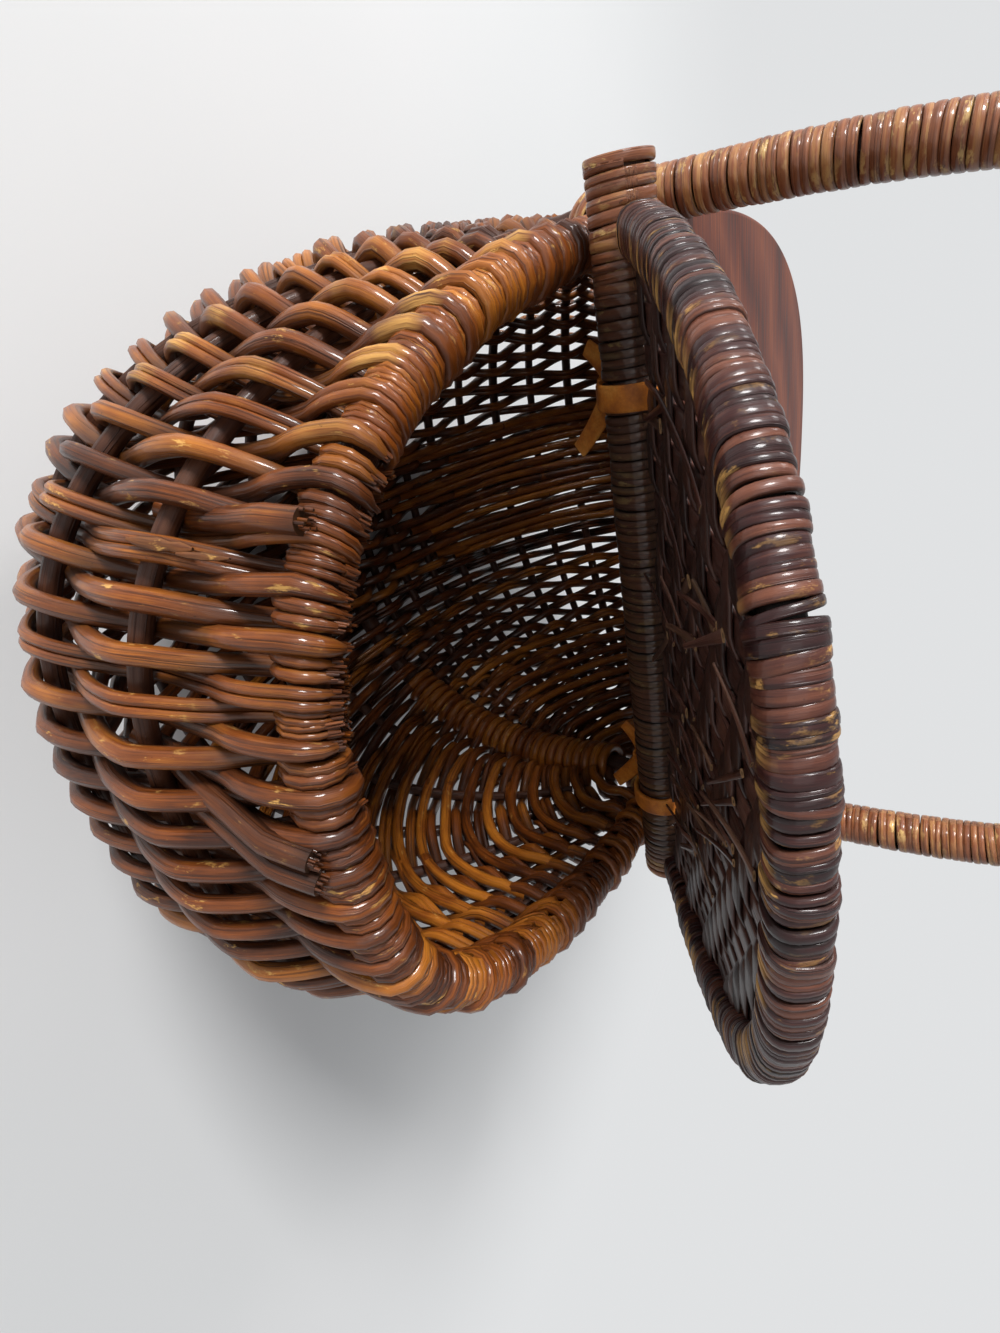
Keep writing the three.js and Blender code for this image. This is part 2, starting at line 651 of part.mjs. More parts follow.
// Outline of a strap drawn round the hinge rod and through the deck's slot, in Y and Z about
// the hinge line. Spread is the distance from the strap's inner face.
function strapOutline(spread) {
  const radius = (HINGE_SEAT + spread) / Math.cos(Math.PI / (4 * ROD_SIDES));
  const slotSide = SLOT_Y + HINGE_OFFSET + spread;
  const top = DECK_TOP + CLEARANCE + spread - HINGE_Z;
  const bottom = DECK_BOTTOM - CLEARANCE - spread - HINGE_Z;
  const tangent = (y, z, sign) => Math.atan2(z, y) + sign * Math.acos(Math.min(radius / Math.hypot(y, z), 1));
  const start = tangent(slotSide, top, 1);
  const lowCorner = DECK_FRONT + HINGE_OFFSET - CLEARANCE - spread;
  const end = FULL_TURN + tangent(lowCorner, bottom, -1);
  const steps = 2 * ROD_SIDES;
  const arc = Array.from({ length: steps + 1 }, (_, i) => {
    const angle = start + ((end - start) * i) / steps;
    return new THREE.Vector2(radius * Math.cos(angle), radius * Math.sin(angle));
  });
  return [...arc, new THREE.Vector2(lowCorner, bottom), new THREE.Vector2(slotSide, bottom),
    new THREE.Vector2(slotSide, top)];
}

function lidTie(x) {
  const shape = new THREE.Shape(strapOutline(TIE_THICKNESS));
  shape.holes.push(new THREE.Path(strapOutline(0)));
  const strap = new THREE.ExtrudeGeometry(shape, { depth: TIE_WIDTH, bevelEnabled: false });
  strap.applyMatrix4(new THREE.Matrix4().makeBasis(Y_AXIS, Z_AXIS, X_AXIS));
  strap.translate(x - TIE_WIDTH / 2, -HINGE_OFFSET, HINGE_Z);
  const knotZ = DECK_BOTTOM - CLEARANCE - TIE_THICKNESS / 2 - KNOT_HEIGHT / 2;
  const knot = new THREE.SphereGeometry(0.5, 10, 8);
  knot.scale(KNOT_WIDTH, KNOT_HEIGHT, KNOT_HEIGHT);
  knot.translate(x, SLOT_Y, knotZ);
  const tail = new THREE.BoxGeometry(TIE_WIDTH, TIE_THICKNESS, TAIL_LENGTH);
  tail.translate(0, 0, -TAIL_LENGTH / 2);
  tail.rotateY(-THREE.MathUtils.degToRad(TAIL_LEAN_DEGREES));
  tail.translate(x, SLOT_Y, knotZ);
  return join([strap, knot, tail]);
}

function buildLid() {
  const core = { width: LID_CORE_WIDTH, height: LID_CORE_HEIGHT };
  const bore = { width: core.width + 2 * CLEARANCE, height: core.height + 2 * CLEARANCE };
  addPiece(lid, 'lid_hoop', rodThrough(lidRings(core.width, core.height), false), FRAME_WOOD);
  const band = sleeveThrough(lidRings(LID_BAND_WIDTH, LID_BAND_HEIGHT), lidRings(bore.width, bore.height));
  addPiece(lid, 'lid_binding', band, LID_CANE);
  const rodMiddle = new THREE.Vector3((HINGE_LEFT + HINGE_RIGHT) / 2, 0, 0);
  const rod = cylinderAlong(X_AXIS, HINGE_ROD / 2, HINGE_RIGHT - HINGE_LEFT, rodMiddle, 2 * ROD_SIDES);
  addPiece(lid, 'lid_hinge_rod', rod, FRAME_WOOD);
  addPiece(lid, 'lid_rod_binding', hingeSleeve(), LID_CANE);
  addPiece(lid, 'lid_weave', lidWeave(), LID_SPLIT);
  stakePlaces().forEach((x, i) => addPiece(lid, `lid_stake_${i + 1}`, lidStake(x), FRAME_WOOD));
}

buildWalls();
buildRibs();
addPiece(group, 'rim_hoop', rimHoop(RIM_RADIUS), FRAME_WOOD);
addPiece(group, 'handle_hoop', cut(handleHoop(HANDLE_RADIUS), [nailHole(1), nailHole(-1)]), FRAME_WOOD);
addPiece(group, 'handle_binding', handleBinding(), CANE);
addPiece(group, 'deck_board', deckBoard(), BOARD);
for (const [side, sign] of [['right', 1], ['left', -1]]) {
  addPiece(group, `ear_lashing_${side}`, earLashing(sign), CANE);
  addPiece(group, `deck_nail_${side}`, deckNail(sign), STEEL);
}
TIE_PLACES.forEach((x, i) => addPiece(group, `lid_tie_${i === 0 ? 'left' : 'right'}`, lidTie(x), LEATHER));
buildLid();

export default group;
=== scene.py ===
"""Lidded gathering basket: the woven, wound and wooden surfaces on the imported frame.

Sizes are in millimetres, as in the part's source, and turn into metres when a mesh is made.
X runs from ear to ear, the lid lies towards -Y and Z points up.
"""
import math

import bpy
import numpy as np
from mathutils import Matrix, Vector


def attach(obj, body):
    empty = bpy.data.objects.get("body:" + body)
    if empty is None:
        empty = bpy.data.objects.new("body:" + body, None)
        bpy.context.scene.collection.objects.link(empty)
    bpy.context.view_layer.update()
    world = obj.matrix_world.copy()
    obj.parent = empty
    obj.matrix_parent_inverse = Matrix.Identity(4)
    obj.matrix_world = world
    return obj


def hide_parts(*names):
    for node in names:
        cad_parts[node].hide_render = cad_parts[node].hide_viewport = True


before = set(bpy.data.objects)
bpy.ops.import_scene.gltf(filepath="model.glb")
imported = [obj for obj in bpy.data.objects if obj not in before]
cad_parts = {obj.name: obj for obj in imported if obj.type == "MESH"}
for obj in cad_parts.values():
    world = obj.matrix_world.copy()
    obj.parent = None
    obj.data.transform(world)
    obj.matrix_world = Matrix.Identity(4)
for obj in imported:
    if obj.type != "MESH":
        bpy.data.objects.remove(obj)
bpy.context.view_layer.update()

MM = 0.001
UP = np.array([0.0, 0.0, 1.0])
ALONG_X = np.array([1.0, 0.0, 0.0])
ALONG_Y = np.array([0.0, 1.0, 0.0])
LEVEL = np.array([1.0, 1.0, 0.0])

# Sizes repeated from the part's source
RIM_HALF_WIDTH = 102.5
RIM_HALF_LENGTH = 170.0
RIM_EXPONENT = 2.6
BODY_DEPTH = 171.0
SECTION_EXPONENT = 2.75
KEEL_EXPONENT = 3.1
BELLY_WIDTH = 12.0
BELLY_LENGTH = 17.0
EAR_GAP = 18.0
EAR_GAP_DROP = 8.0
RIM_Z = 177.1
RIM_RADIUS = 4.0
RIB_RADIUS = 3.0
RIB_TIP_RADIUS = 1.6
RIBS_PER_SIDE = 6
RIB_STEP = math.pi / 2 / (RIBS_PER_SIDE + 1)
HANDLE_X = 111.3
HANDLE_RADIUS = 4.5
HANDLE_RISE = 210.0
HANDLE_EXPONENT = 3.0
HANDLE_BINDING_RADIUS = 7.5
LASHING_SIZE = np.array([22.0, 33.0, 28.0])
LASHING_DROP = 6.0
DECK_BOTTOM = 185.9
DECK_THICKNESS = 6.0
DECK_TOP = DECK_BOTTOM + DECK_THICKNESS
DECK_HALF_WIDTH = 106.5
DECK_FRONT = -39.2
SLOT_Y = -30.2
LID_OPEN = math.radians(31.7)
LID_HALF_WIDTH = 105.0
LID_REACH = 170.0
LID_EXPONENT = 2.57
LID_LIFT = 2.4
LID_BAND_WIDTH = 12.0
LID_BAND_HEIGHT = 11.0
LID_CORE_HALF_SIZES = (3.5, 3.0)
HINGE_OFFSET = 48.0
HINGE = np.array([0.0, -HINGE_OFFSET, 194.4])
HINGE_ROD_RADIUS = 6.0
HINGE_BINDING_RADIUS = 8.5
HINGE_SEAT = 8.8
HINGE_LEFT = -119.0
HINGE_RIGHT = 109.0
STAKE_SPACING = 28.0
STAKES_PER_SIDE = 3
TIE_PLACES = (-66.0, 72.0)
TIE_WIDTH = 7.0
TIE_THICKNESS = 1.6
TIE_CLEARANCE = 0.3
KNOT_Z = 180.6

# Weave, read from the photo. A share is part of the way from the right ear to the left, and a
# place in ribs counts round the body from the front rim by the keel to the back rim.
WEAVERS = 45
PERIOD = 1 / WEAVERS
KEEL_PLACE = RIBS_PER_SIDE + 1
LAST_BACK_RIB = 2 * RIBS_PER_SIDE + 1
ROD_RADIUS = 2.4
RIB_SHOWN_RADIUS = 2.5
BETWEEN_RIB_RADIUS = 2.2
WRAP_RADIUS = 1.5
WRAP_CLEARANCE = 0.2
# Degrees between the points of a turn round the rim
WRAP_STEP = 15
ROD_SPACING = 3.15
KEEL_WRAPPED_SHARE = 0.29
END_WALL_SHARE = 0.24
FRONT_RUN = (0.9, 6.3)
BACK_RUN = (13.1, 7.7)
PACKED_BACK = (0.395, 0.56)
PAIRED_RODS = 0.22
WORN_RIM = (0.53, 0.69)
WORN_RIM_GRIME = 0.28
BROKEN_TURNS = 0.75
SHOULDER_SHARES = (0.68, 0.75)
SHOULDER_WEAR = 0.85
# Share at the first rib, share at the end and how much darker each cut rod is
CUT_BUTTS = ((0.672, 0.662, 0.2), (0.557, 0.522, 0.45), (0.541, 0.508, 0.4))
# Share, first and last place in ribs and half width of each strip of loose bark
BARK_SLIVERS = ((0.6505, 0.99, 0.62, 1.25), (0.648, 0.7, 0.4, 0.9))
# Angle in degrees, share in periods and radius along a weaver's turns round the rim
FRONT_STOPS = ((165, 0.06, 1.9), (0, 0.11, WRAP_RADIUS), (-360, 0.39, WRAP_RADIUS), (-540, 0.57, 1.8),
               (-705, 0.75, 2.2))
BACK_STOPS = ((15, 0.75, 2.2), (180, 0.93, 1.8), (360, 1.11, WRAP_RADIUS), (720, 1.39, WRAP_RADIUS),
              (880, 1.45, 1.7))

# Windings, deck and lid panel, read from the photo. A strip is its half width and half height.
HANDLE_BINDING_START = 6.6
HANDLE_PITCH = 2.55
HANDLE_STRIP = (1.36, 0.95)
BAND_PITCH = 1.85
BAND_STRIP = (1.05, 0.8)
BAND_COVER = 0.85
HINGE_PITCH = 2.5
HINGE_STRIP = (1.34, 0.9)
STRIP_SQUARENESS = 0.62
NOTCH_RADIUS = 8.3
DECK_ROUNDING = 1.4
SPLIT_PITCH = 5.0
SPLIT_HALF_HEIGHT = 0.5
WARP_SPACING = STAKE_SPACING / 3
WARP_HALF_SIZES = (3.7, 0.55)
PANEL_TUCK = 3.0
TIE_ROOM = 1.0
LOOSE_SPLITS = 36


def rng(seed):
    return np.random.default_rng(seed)


def signed_power(value, exponent):
    return np.sign(value) * np.abs(value) ** exponent


def unit(vectors):
    return vectors / np.maximum(np.linalg.norm(vectors, axis=-1, keepdims=True), 1e-9)


def smooth_noise(count, step, seed):
    """Gentle wander in -1 to 1 along a run of points, with one control value per step."""
    controls = rng(seed).uniform(-1, 1, max(2, int(count / step) + 2))
    places = np.linspace(0, len(controls) - 1, count)
    low = np.minimum(places.astype(int), len(controls) - 2)
    blend = places - low
    blend = blend * blend * (3 - 2 * blend)
    return controls[low] * (1 - blend) + controls[low + 1] * blend


def distances(path):
    """How far along the path each of its points lies."""
    return np.concatenate([[0], np.cumsum(np.linalg.norm(np.diff(path, axis=0), axis=1))])


def looped(path):
    """The path with its first point once more at its end."""
    return np.concatenate([path, path[:1]])


def values_at(places, length, values):
    """Numbers or vectors given at the distances in length, at other places on the same path."""
    values = np.asarray(values, float)
    if values.ndim == 1:
        return np.interp(places, length, values)
    return np.stack([np.interp(places, length, column) for column in values.T], -1)


def resample(spacing, path, *others):
    """The path and what goes with it, at even steps of about the given spacing."""
    length = distances(path)
    count = max(3, int(length[-1] / spacing) + 1)
    places = np.linspace(0, length[-1], count)
    return [values_at(places, length, values) for values in (path, *others)]


# The surface that the ribs lie on. Theta runs along a rib from the right ear to the left, and
# phi runs round the body from the front rim, under the keel, to the back rim.

def rib_exponent(phi):
    return RIM_EXPONENT + (KEEL_EXPONENT - RIM_EXPONENT) * np.sin(phi) ** 2


def section_radius(phi):
    across = np.abs(np.cos(phi) / RIM_HALF_LENGTH) ** SECTION_EXPONENT
    down = np.abs(np.sin(phi) / BODY_DEPTH) ** SECTION_EXPONENT
    return (across + down) ** (-1 / SECTION_EXPONENT)


def body_point(theta, phi):
    exponent = 2 / rib_exponent(phi)
    along = signed_power(np.cos(theta), exponent)
    reach = section_radius(phi) * np.abs(np.sin(theta)) ** exponent
    depth = np.minimum(reach * np.sin(phi) / BODY_DEPTH, 1)
    belly = 4 * depth * (1 - depth)
    x = along * (RIM_HALF_WIDTH + BELLY_WIDTH * belly)
    y = -reach * np.cos(phi) * (1 + BELLY_LENGTH / RIM_HALF_LENGTH * belly)
    z = RIM_Z - reach * np.sin(phi)
    return np.stack([x, y, z], -1)


def body_out(theta, phi):
    step = 1e-4
    along = body_point(theta + step, phi) - body_point(theta - step, phi)
    around = body_point(theta, phi + step) - body_point(theta, phi - step)
    out = unit(np.cross(along, around))
    from_middle = body_point(theta, phi) - UP * (RIM_Z - BODY_DEPTH / 2)
    return out * np.sign(np.sum(out * from_middle, -1, keepdims=True))


def surface(theta, phi):
    """Points of the surface, and its outward directions there."""
    return body_point(theta, phi), body_out(theta, phi)


def first_theta(phi):
    """Theta where a rib starts, at its gap from the right ear."""
    gap = EAR_GAP + EAR_GAP_DROP * np.sin(phi) ** 2
    return np.arcsin((gap / section_radius(phi)) ** (rib_exponent(phi) / 2))


PHI_GRID = np.linspace(0, math.pi, 241)
SHARES = np.linspace(0, 1, 401)


def theta_table():
    """Theta at even shares of the way from ear to ear, for each phi of the grid."""
    table = []
    for phi in PHI_GRID:
        start = first_theta(phi)
        thetas = np.linspace(start, math.pi - start, 601)
        length = distances(body_point(thetas, phi))
        table.append(np.interp(SHARES, length / length[-1], thetas))
    return np.array(table)


THETAS = theta_table()


def theta_at(share, phi):
    """Theta of a share of the way from ear to ear at phi; both may be arrays."""
    share, phi = np.broadcast_arrays(np.asarray(share, float), np.asarray(phi, float))
    row = np.clip(phi / math.pi * (len(PHI_GRID) - 1), 0, len(PHI_GRID) - 1.001)
    column = np.clip(share * (len(SHARES) - 1), 0, len(SHARES) - 1.001)
    r, c = row.astype(int), column.astype(int)
    down, across = row - r, column - c
    upper = THETAS[r, c] * (1 - across) + THETAS[r, c + 1] * across
    lower = THETAS[r + 1, c] * (1 - across) + THETAS[r + 1, c + 1] * across
    return upper * (1 - down) + lower * down


def wall_at(share, phi):
    """Points of the surface at shares of the way from ear to ear, and their outward directions."""
    return surface(theta_at(share, phi), phi)


def rim_frame(share, phi):
    """Centre and level outward direction of the rim at a share of the way from ear to ear."""
    point, out = wall_at(share, phi)
    return point, unit(out * LEVEL)


# Swept rods

class Rods:
    """Collects swept rods and makes them into one mesh.

    The UV map is in millimetres, round and along each rod. The colour attribute "tone" holds
    a value of the rod, how worn it is, whether the face is a cut end and how free it is of dirt and painted
    shade.
    """

    def __init__(self):
        self.points = []
        self.tones = []
        self.faces = []
        self.uvs = []
        self.count = 0

    def add(self, path, outward, half_width, half_height=None, sides=8, tone=0.5, worn=0.0,
            squareness=1.0, closed=False, grime=0.0, groove=0.0, facing=1.0):
        """One rod along a path.

        The darkening given for the whole rod is dirt on some rods and painted shade on others: in the hollows
        of the weave, on the lid's core and along the hinge rod. The darkening given for one side is painted
        shade on the side away from outward, or on the outward side where facing is -1.
        """
        def each(value):
            return np.broadcast_to(np.asarray(value, float), len(path))

        width = each(half_width)[:, None, None]
        height = each(half_width if half_height is None else half_height)[:, None, None]
        if closed:
            tangent = unit(np.roll(path, -1, axis=0) - np.roll(path, 1, axis=0))
        else:
            tangent = unit(np.gradient(path, axis=0))
        side = unit(np.cross(tangent, np.broadcast_to(outward, path.shape)))
        normal = np.cross(side, tangent)
        angles = 2 * math.pi * np.arange(sides) / sides
        across = side[:, None, :] * width * signed_power(np.cos(angles), squareness)[None, :, None]
        upward = normal[:, None, :] * height * signed_power(np.sin(angles), squareness)[None, :, None]
        rings = path[:, None, :] + across + upward
        tone = each(tone)
        # Painted shade on the side away from outward, added to the darkening of the whole rod
        low = (0.5 - 0.5 * each(facing)[:, None] * np.sin(angles)[None, :]) ** 1.3
        clean_and_unshaded = np.clip(1 - each(grime)[:, None] - groove * low, 0, 1)
        start = self.count
        worn = np.repeat(each(worn), sides)
        self._extend(rings.reshape(-1, 3), np.repeat(tone, sides), worn, 0.0, clean_and_unshaded.ravel())
        self._skin(start, path, rings, closed)
        if not closed:
            self._cap(path[0], rings[0], tone[0], True)
            self._cap(path[-1], rings[-1], tone[-1], False)

    def _extend(self, points, tone, worn, cut, clean_and_unshaded=1.0):
        tones = np.empty((len(points), 4))
        for channel, value in enumerate((tone, worn, cut, clean_and_unshaded)):
            tones[:, channel] = value
        self.points.append(points)
        self.tones.append(tones)
        self.count += len(points)

    def _skin(self, start, path, rings, closed):
        count, sides = rings.shape[:2]
        rows = np.arange(count if closed else count - 1)
        a, k = np.meshgrid(rows, np.arange(sides), indexing="ij")
        b, k2 = (a + 1) % count, (k + 1) % sides
        faces = start + np.stack([a * sides + k, a * sides + k2, b * sides + k2, b * sides + k], -1)
        along = distances(looped(path))
        girth = distances(looped(rings[count // 2]))[-1]
        u, u2 = k / sides * girth, (k + 1) / sides * girth
        v, v2 = along[a], along[a + 1]
        corners = [np.stack(corner, -1) for corner in ((u, v), (u2, v), (u2, v2), (u, v2))]
        self.faces.append(faces.reshape(-1, 4))
        self.uvs.append(np.stack(corners, 2).reshape(-1, 2))

    def _cap(self, middle, ring, tone, flip):
        sides = len(ring)
        start = self.count
        self._extend(np.vstack([ring, middle[None]]), tone, 0.0, np.append(np.ones(sides), 0.45))
        k = start + np.arange(sides)
        k2 = np.roll(k, -1)
        hub = np.full(sides, start + sides)
        self.faces.append(np.stack((hub, k2, k) if flip else (hub, k, k2), -1))
        self.uvs.append(np.zeros((3 * sides, 2)))

    def make(self, name, material, body, slot, replaces=()):
        mesh = bpy.data.meshes.new(name)
        faces = [face for block in self.faces for face in block.tolist()]
        mesh.from_pydata((np.concatenate(self.points) * MM).tolist(), [], faces)
        mesh.uv_layers.new(name="UVMap").data.foreach_set("uv", np.concatenate(self.uvs).ravel())
        tones = mesh.attributes.new("tone", "FLOAT_COLOR", "POINT")
        tones.data.foreach_set("color", np.concatenate(self.tones).ravel())
        mesh.shade_smooth()
        mesh.materials.append(material)
        place(bpy.data.objects.new(name, mesh), body, replaces)


def place(piece, body, replaces=()):
    bpy.context.scene.collection.objects.link(piece)
    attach(piece, body)
    if replaces:
        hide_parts(*replaces)


# Materials

def rgba(colour):
    """Linear colour with alpha, from a six-digit hex code or three linear values."""
    if not isinstance(colour, str):
        return (*colour, 1.0)
    channels = [int(colour[i:i + 2], 16) / 255 for i in (0, 2, 4)]
    linear = [c / 12.92 if c <= 0.04045 else ((c + 0.055) / 1.055) ** 2.4 for c in channels]
    return (*linear, 1.0)


class Nodes:
    """A node tree, with short calls to add nodes and link them. A hex code stands for a colour."""

    def __init__(self, tree):
        self.tree = tree

    def add(self, kind, inputs=None, **settings):
        node = self.tree.nodes.new("ShaderNode" + kind)
        for key, value in settings.items():
            setattr(node, key, value)
        for key, value in (inputs or {}).items():
            self.feed(node.inputs[key], value)
        return node

    def feed(self, socket, value):
        if isinstance(value, bpy.types.NodeSocket):
            self.tree.links.new(value, socket)
        else:
            socket.default_value = rgba(value) if isinstance(value, str) else value

    def math(self, operation, a, b=0.0, clamp=False):
        return self.add("Math", {0: a, 1: b}, operation=operation, use_clamp=clamp).outputs[0]

    def times(self, a, b, clamp=False):
        return self.math("MULTIPLY", a, b, clamp)

    def plus(self, a, b):
        return self.math("ADD", a, b)

    def mix(self, share, a, b):
        return self.add("Mix", {0: share, 6: a, 7: b}, data_type="RGBA").outputs[2]

    def ramp(self, share, stops):
        node = self.add("ValToRGB", {"Fac": share})
        elements = node.color_ramp.elements
        while len(elements) < len(stops):
            elements.new(0.5)
        for element, (position, colour) in zip(elements, stops):
            element.position = position
            element.color = rgba(colour)
        return node.outputs["Color"]

    def step(self, value, low, high):
        """0 below low, 1 above high, smooth between."""
        inputs = {"Value": value, "From Min": low, "From Max": high}
        return self.add("MapRange", inputs, interpolation_type="SMOOTHSTEP").outputs["Result"]

    def noise(self, vector, detail=3.0, roughness=0.55, scale=1.0):
        inputs = {"Vector": vector, "Scale": scale, "Detail": detail, "Roughness": roughness}
        return self.add("TexNoise", inputs).outputs["Fac"]

    def split(self, vector):
        return self.add("SeparateXYZ", {"Vector": vector}).outputs[:]

    def stretch(self, vector, factors):
        return self.add("VectorMath", {0: vector, 1: factors}, operation="MULTIPLY").outputs["Vector"]


class Shader(Nodes):
    """The nodes of a new material."""

    def __init__(self, name):
        self.material = bpy.data.materials.new(name)
        self.material.use_nodes = True
        super().__init__(self.material.node_tree)
        self.surface = self.tree.nodes["Principled BSDF"]

    def bump(self, height, distance, strength):
        node = self.add("Bump", {"Height": height, "Distance": distance * MM, "Strength": strength})
        self.set(Normal=node.outputs["Normal"])

    def set(self, **values):
        for key, value in values.items():
            self.feed(self.surface.inputs[key.replace("_", " ")], value)


SPECK = "1a0d07"
# Dark brown for dirt and for painted shade
DIRT_AND_SHADE = "150a06"
PITH = "1d120b"


def rod_material(name, dark, middle, light, scuff, cut_end, scuffs=0.62, roughness=0.4, coat=0.35,
                 grain=1.0, spread=0.3):
    """Varnished rod, cane or split: streaks along it, stain patches, scuffs, dirt, painted shade and cut
    ends.
    """
    shader = Shader(name)
    attribute = shader.add("Attribute", attribute_name="tone")
    value, worn, cut = shader.add("SeparateColor", {"Color": attribute.outputs["Color"]}).outputs
    # The tone's fourth channel is 1 where there is neither dirt nor painted shade
    dirt_and_shade = shader.math("SUBTRACT", 1.0, attribute.outputs["Alpha"], clamp=True)
    around, along, _ = shader.split(shader.add("UVMap", uv_map="UVMap").outputs["UV"])
    shift = shader.times(value, 90.0)

    def pattern(around_scale, along_scale, offset, detail, rough):
        """Noise stretched along the rod, which differs from rod to rod."""
        spot = {"X": shader.times(around, around_scale), "Y": shader.times(along, along_scale),
                "Z": shader.plus(shift, offset)}
        return shader.noise(shader.add("CombineXYZ", spot).outputs["Vector"], detail, rough)

    streak = pattern(1.7 * grain, 0.05, 0.0, 4.0, 0.65)
    patch = pattern(0.14, 0.055, 0.0, 3.0, 0.6)
    mixed = shader.plus(shader.times(value, spread), shader.times(streak, 0.5))
    mixed = shader.plus(mixed, shader.times(patch, 0.55))
    mixed = shader.math("SUBTRACT", mixed, 0.5 * spread)
    colour = shader.ramp(mixed, [(0.3, dark), (0.52, middle), (0.76, light)])
    line = shader.step(pattern(1.3 * grain, 0.016, 11.0, 2.0, 0.5), 0.56, 0.66)
    colour = shader.mix(shader.times(line, 0.62), colour, dark)
    rub = shader.step(pattern(0.35, 0.11, 31.0, 5.0, 0.7), scuffs, scuffs + 0.09)
    bare = shader.times(shader.math("SUBTRACT", worn, 1.0, clamp=True), shader.step(streak, 0.3, 0.6))
    rubbed = shader.math("MAXIMUM", shader.times(rub, worn, clamp=True), bare)
    colour = shader.mix(rubbed, colour, scuff)
    speck = shader.step(pattern(0.9, 0.5, 57.0, 3.0, 0.7), 0.66, 0.74)
    colour = shader.mix(shader.times(speck, 0.6), colour, SPECK)
    # Dirt and painted shade, in patches, turn the colour dark brown
    soil_and_shade = shader.times(dirt_and_shade, shader.plus(shader.times(patch, 0.7), 0.6), clamp=True)
    colour = shader.mix(soil_and_shade, colour, DIRT_AND_SHADE)
    end = shader.mix(shader.step(cut, 0.5, 0.75), PITH, cut_end)
    colour = shader.mix(shader.step(cut, 0.3, 0.42), colour, end)
    rough = shader.plus(shader.times(streak, 0.3), roughness - 0.15)
    for dull in (rubbed, soil_and_shade):
        rough = shader.plus(rough, shader.times(dull, 0.25))
    shader.set(Base_Color=colour, Roughness=rough, Specular_IOR_Level=0.22, Coat_Weight=coat,
               Coat_Roughness=0.11)
    height = shader.math("SUBTRACT", shader.plus(streak, shader.times(patch, 0.8)), line)
    shader.bump(height, 0.4, 0.6)
    return shader.material


def plank_material(name):
    """Stained board with its grain along X, a lighter flame and wear in streaks."""
    shader = Shader(name)
    spot = shader.add("TexCoord").outputs["Object"]
    x, y, _ = shader.split(spot)
    broad = shader.stretch(spot, (6.0, 9.0, 9.0))
    wander = shader.noise(broad, 2.0)
    across = shader.plus(shader.times(y, 46.0), shader.times(wander, 7.0))
    across = shader.plus(across, shader.times(shader.times(x, x), 160.0))
    rings = shader.math("PINGPONG", across, 1.0)
    fibre = shader.noise(shader.stretch(spot, (26.0, 900.0, 900.0)), 3.0, 0.65)
    mixed = shader.plus(shader.times(rings, 0.22), shader.times(fibre, 0.95))
    colour = shader.ramp(mixed, [(0.36, "2a100b"), (0.58, "5f2b1b"), (0.84, "884d33")])
    worn = shader.step(shader.noise(broad, 4.0, scale=5.0), 0.62, 0.75)
    worn = shader.times(worn, shader.step(fibre, 0.42, 0.7))
    colour = shader.mix(shader.times(worn, 0.4), colour, "a87457")
    rough = shader.plus(shader.times(fibre, 0.3), 0.3)
    shader.set(Base_Color=colour, Roughness=rough, Specular_IOR_Level=0.15)
    shader.bump(fibre, 0.25, 0.35)
    return shader.material


def leather_material(name):
    """Tan thong: pebbled grain, darker creases and a dry surface."""
    shader = Shader(name)
    spot = shader.add("TexCoord").outputs["Object"]
    pebbles = shader.add("TexVoronoi", {"Vector": spot, "Scale": 1500.0}, feature="SMOOTH_F1")
    pebble = pebbles.outputs["Distance"]
    patch = shader.noise(spot, 4.0, scale=160.0)
    colour = shader.ramp(patch, [(0.28, "8a4811"), (0.5, "c77420"), (0.75, "e09a42")])
    colour = shader.mix(shader.times(pebble, 0.35), colour, "6a340e")
    rough = shader.plus(shader.times(patch, 0.2), 0.52)
    shader.set(Base_Color=colour, Roughness=rough, Specular_IOR_Level=0.4)
    shader.bump(pebble, 0.2, 0.4)
    return shader.material


def steel_material(name):
    """Dull nail with rust in patches."""
    shader = Shader(name)
    patch = shader.noise(shader.add("TexCoord").outputs["Object"], 4.0, scale=700.0)
    rust = shader.step(patch, 0.5, 0.64)
    shader.set(Base_Color=shader.mix(rust, "76716a", "5a3420"), Metallic=shader.math("SUBTRACT", 1.0, rust),
               Roughness=shader.plus(shader.times(rust, 0.4), 0.36))
    shader.bump(patch, 0.1, 0.4)
    return shader.material


WILLOW = rod_material("willow", "3b1a08", "7a3e12", "b06a20", "c8964e", "3a2415", scuffs=0.595)
FRAME_WOOD = rod_material("frame_wood", "1f0e07", "3b1e11", "54311d", "8d6b4a", "4d3420", roughness=0.5,
                          coat=0.1)
HANDLE_CANE = rod_material("handle_cane", "4a2616", "854f32", "b88953", "dcb874", "5a3d28", scuffs=0.54,
                           spread=0.16)
LID_CANE = rod_material("lid_cane", "180a0b", "351816", "6c3f2d", "c29352", "5a3d28", scuffs=0.575, coat=0.26)
LID_SPLIT = rod_material("lid_split", "2a1612", "4a2a22", "6b473b", "9a7a5c", "8d6b4a", scuffs=0.7, grain=0.7,
                         coat=0.32)
BOARD = plank_material("deck_wood")
LEATHER = leather_material("tie_leather")
STEEL = steel_material("nail_steel")


# Body of the basket

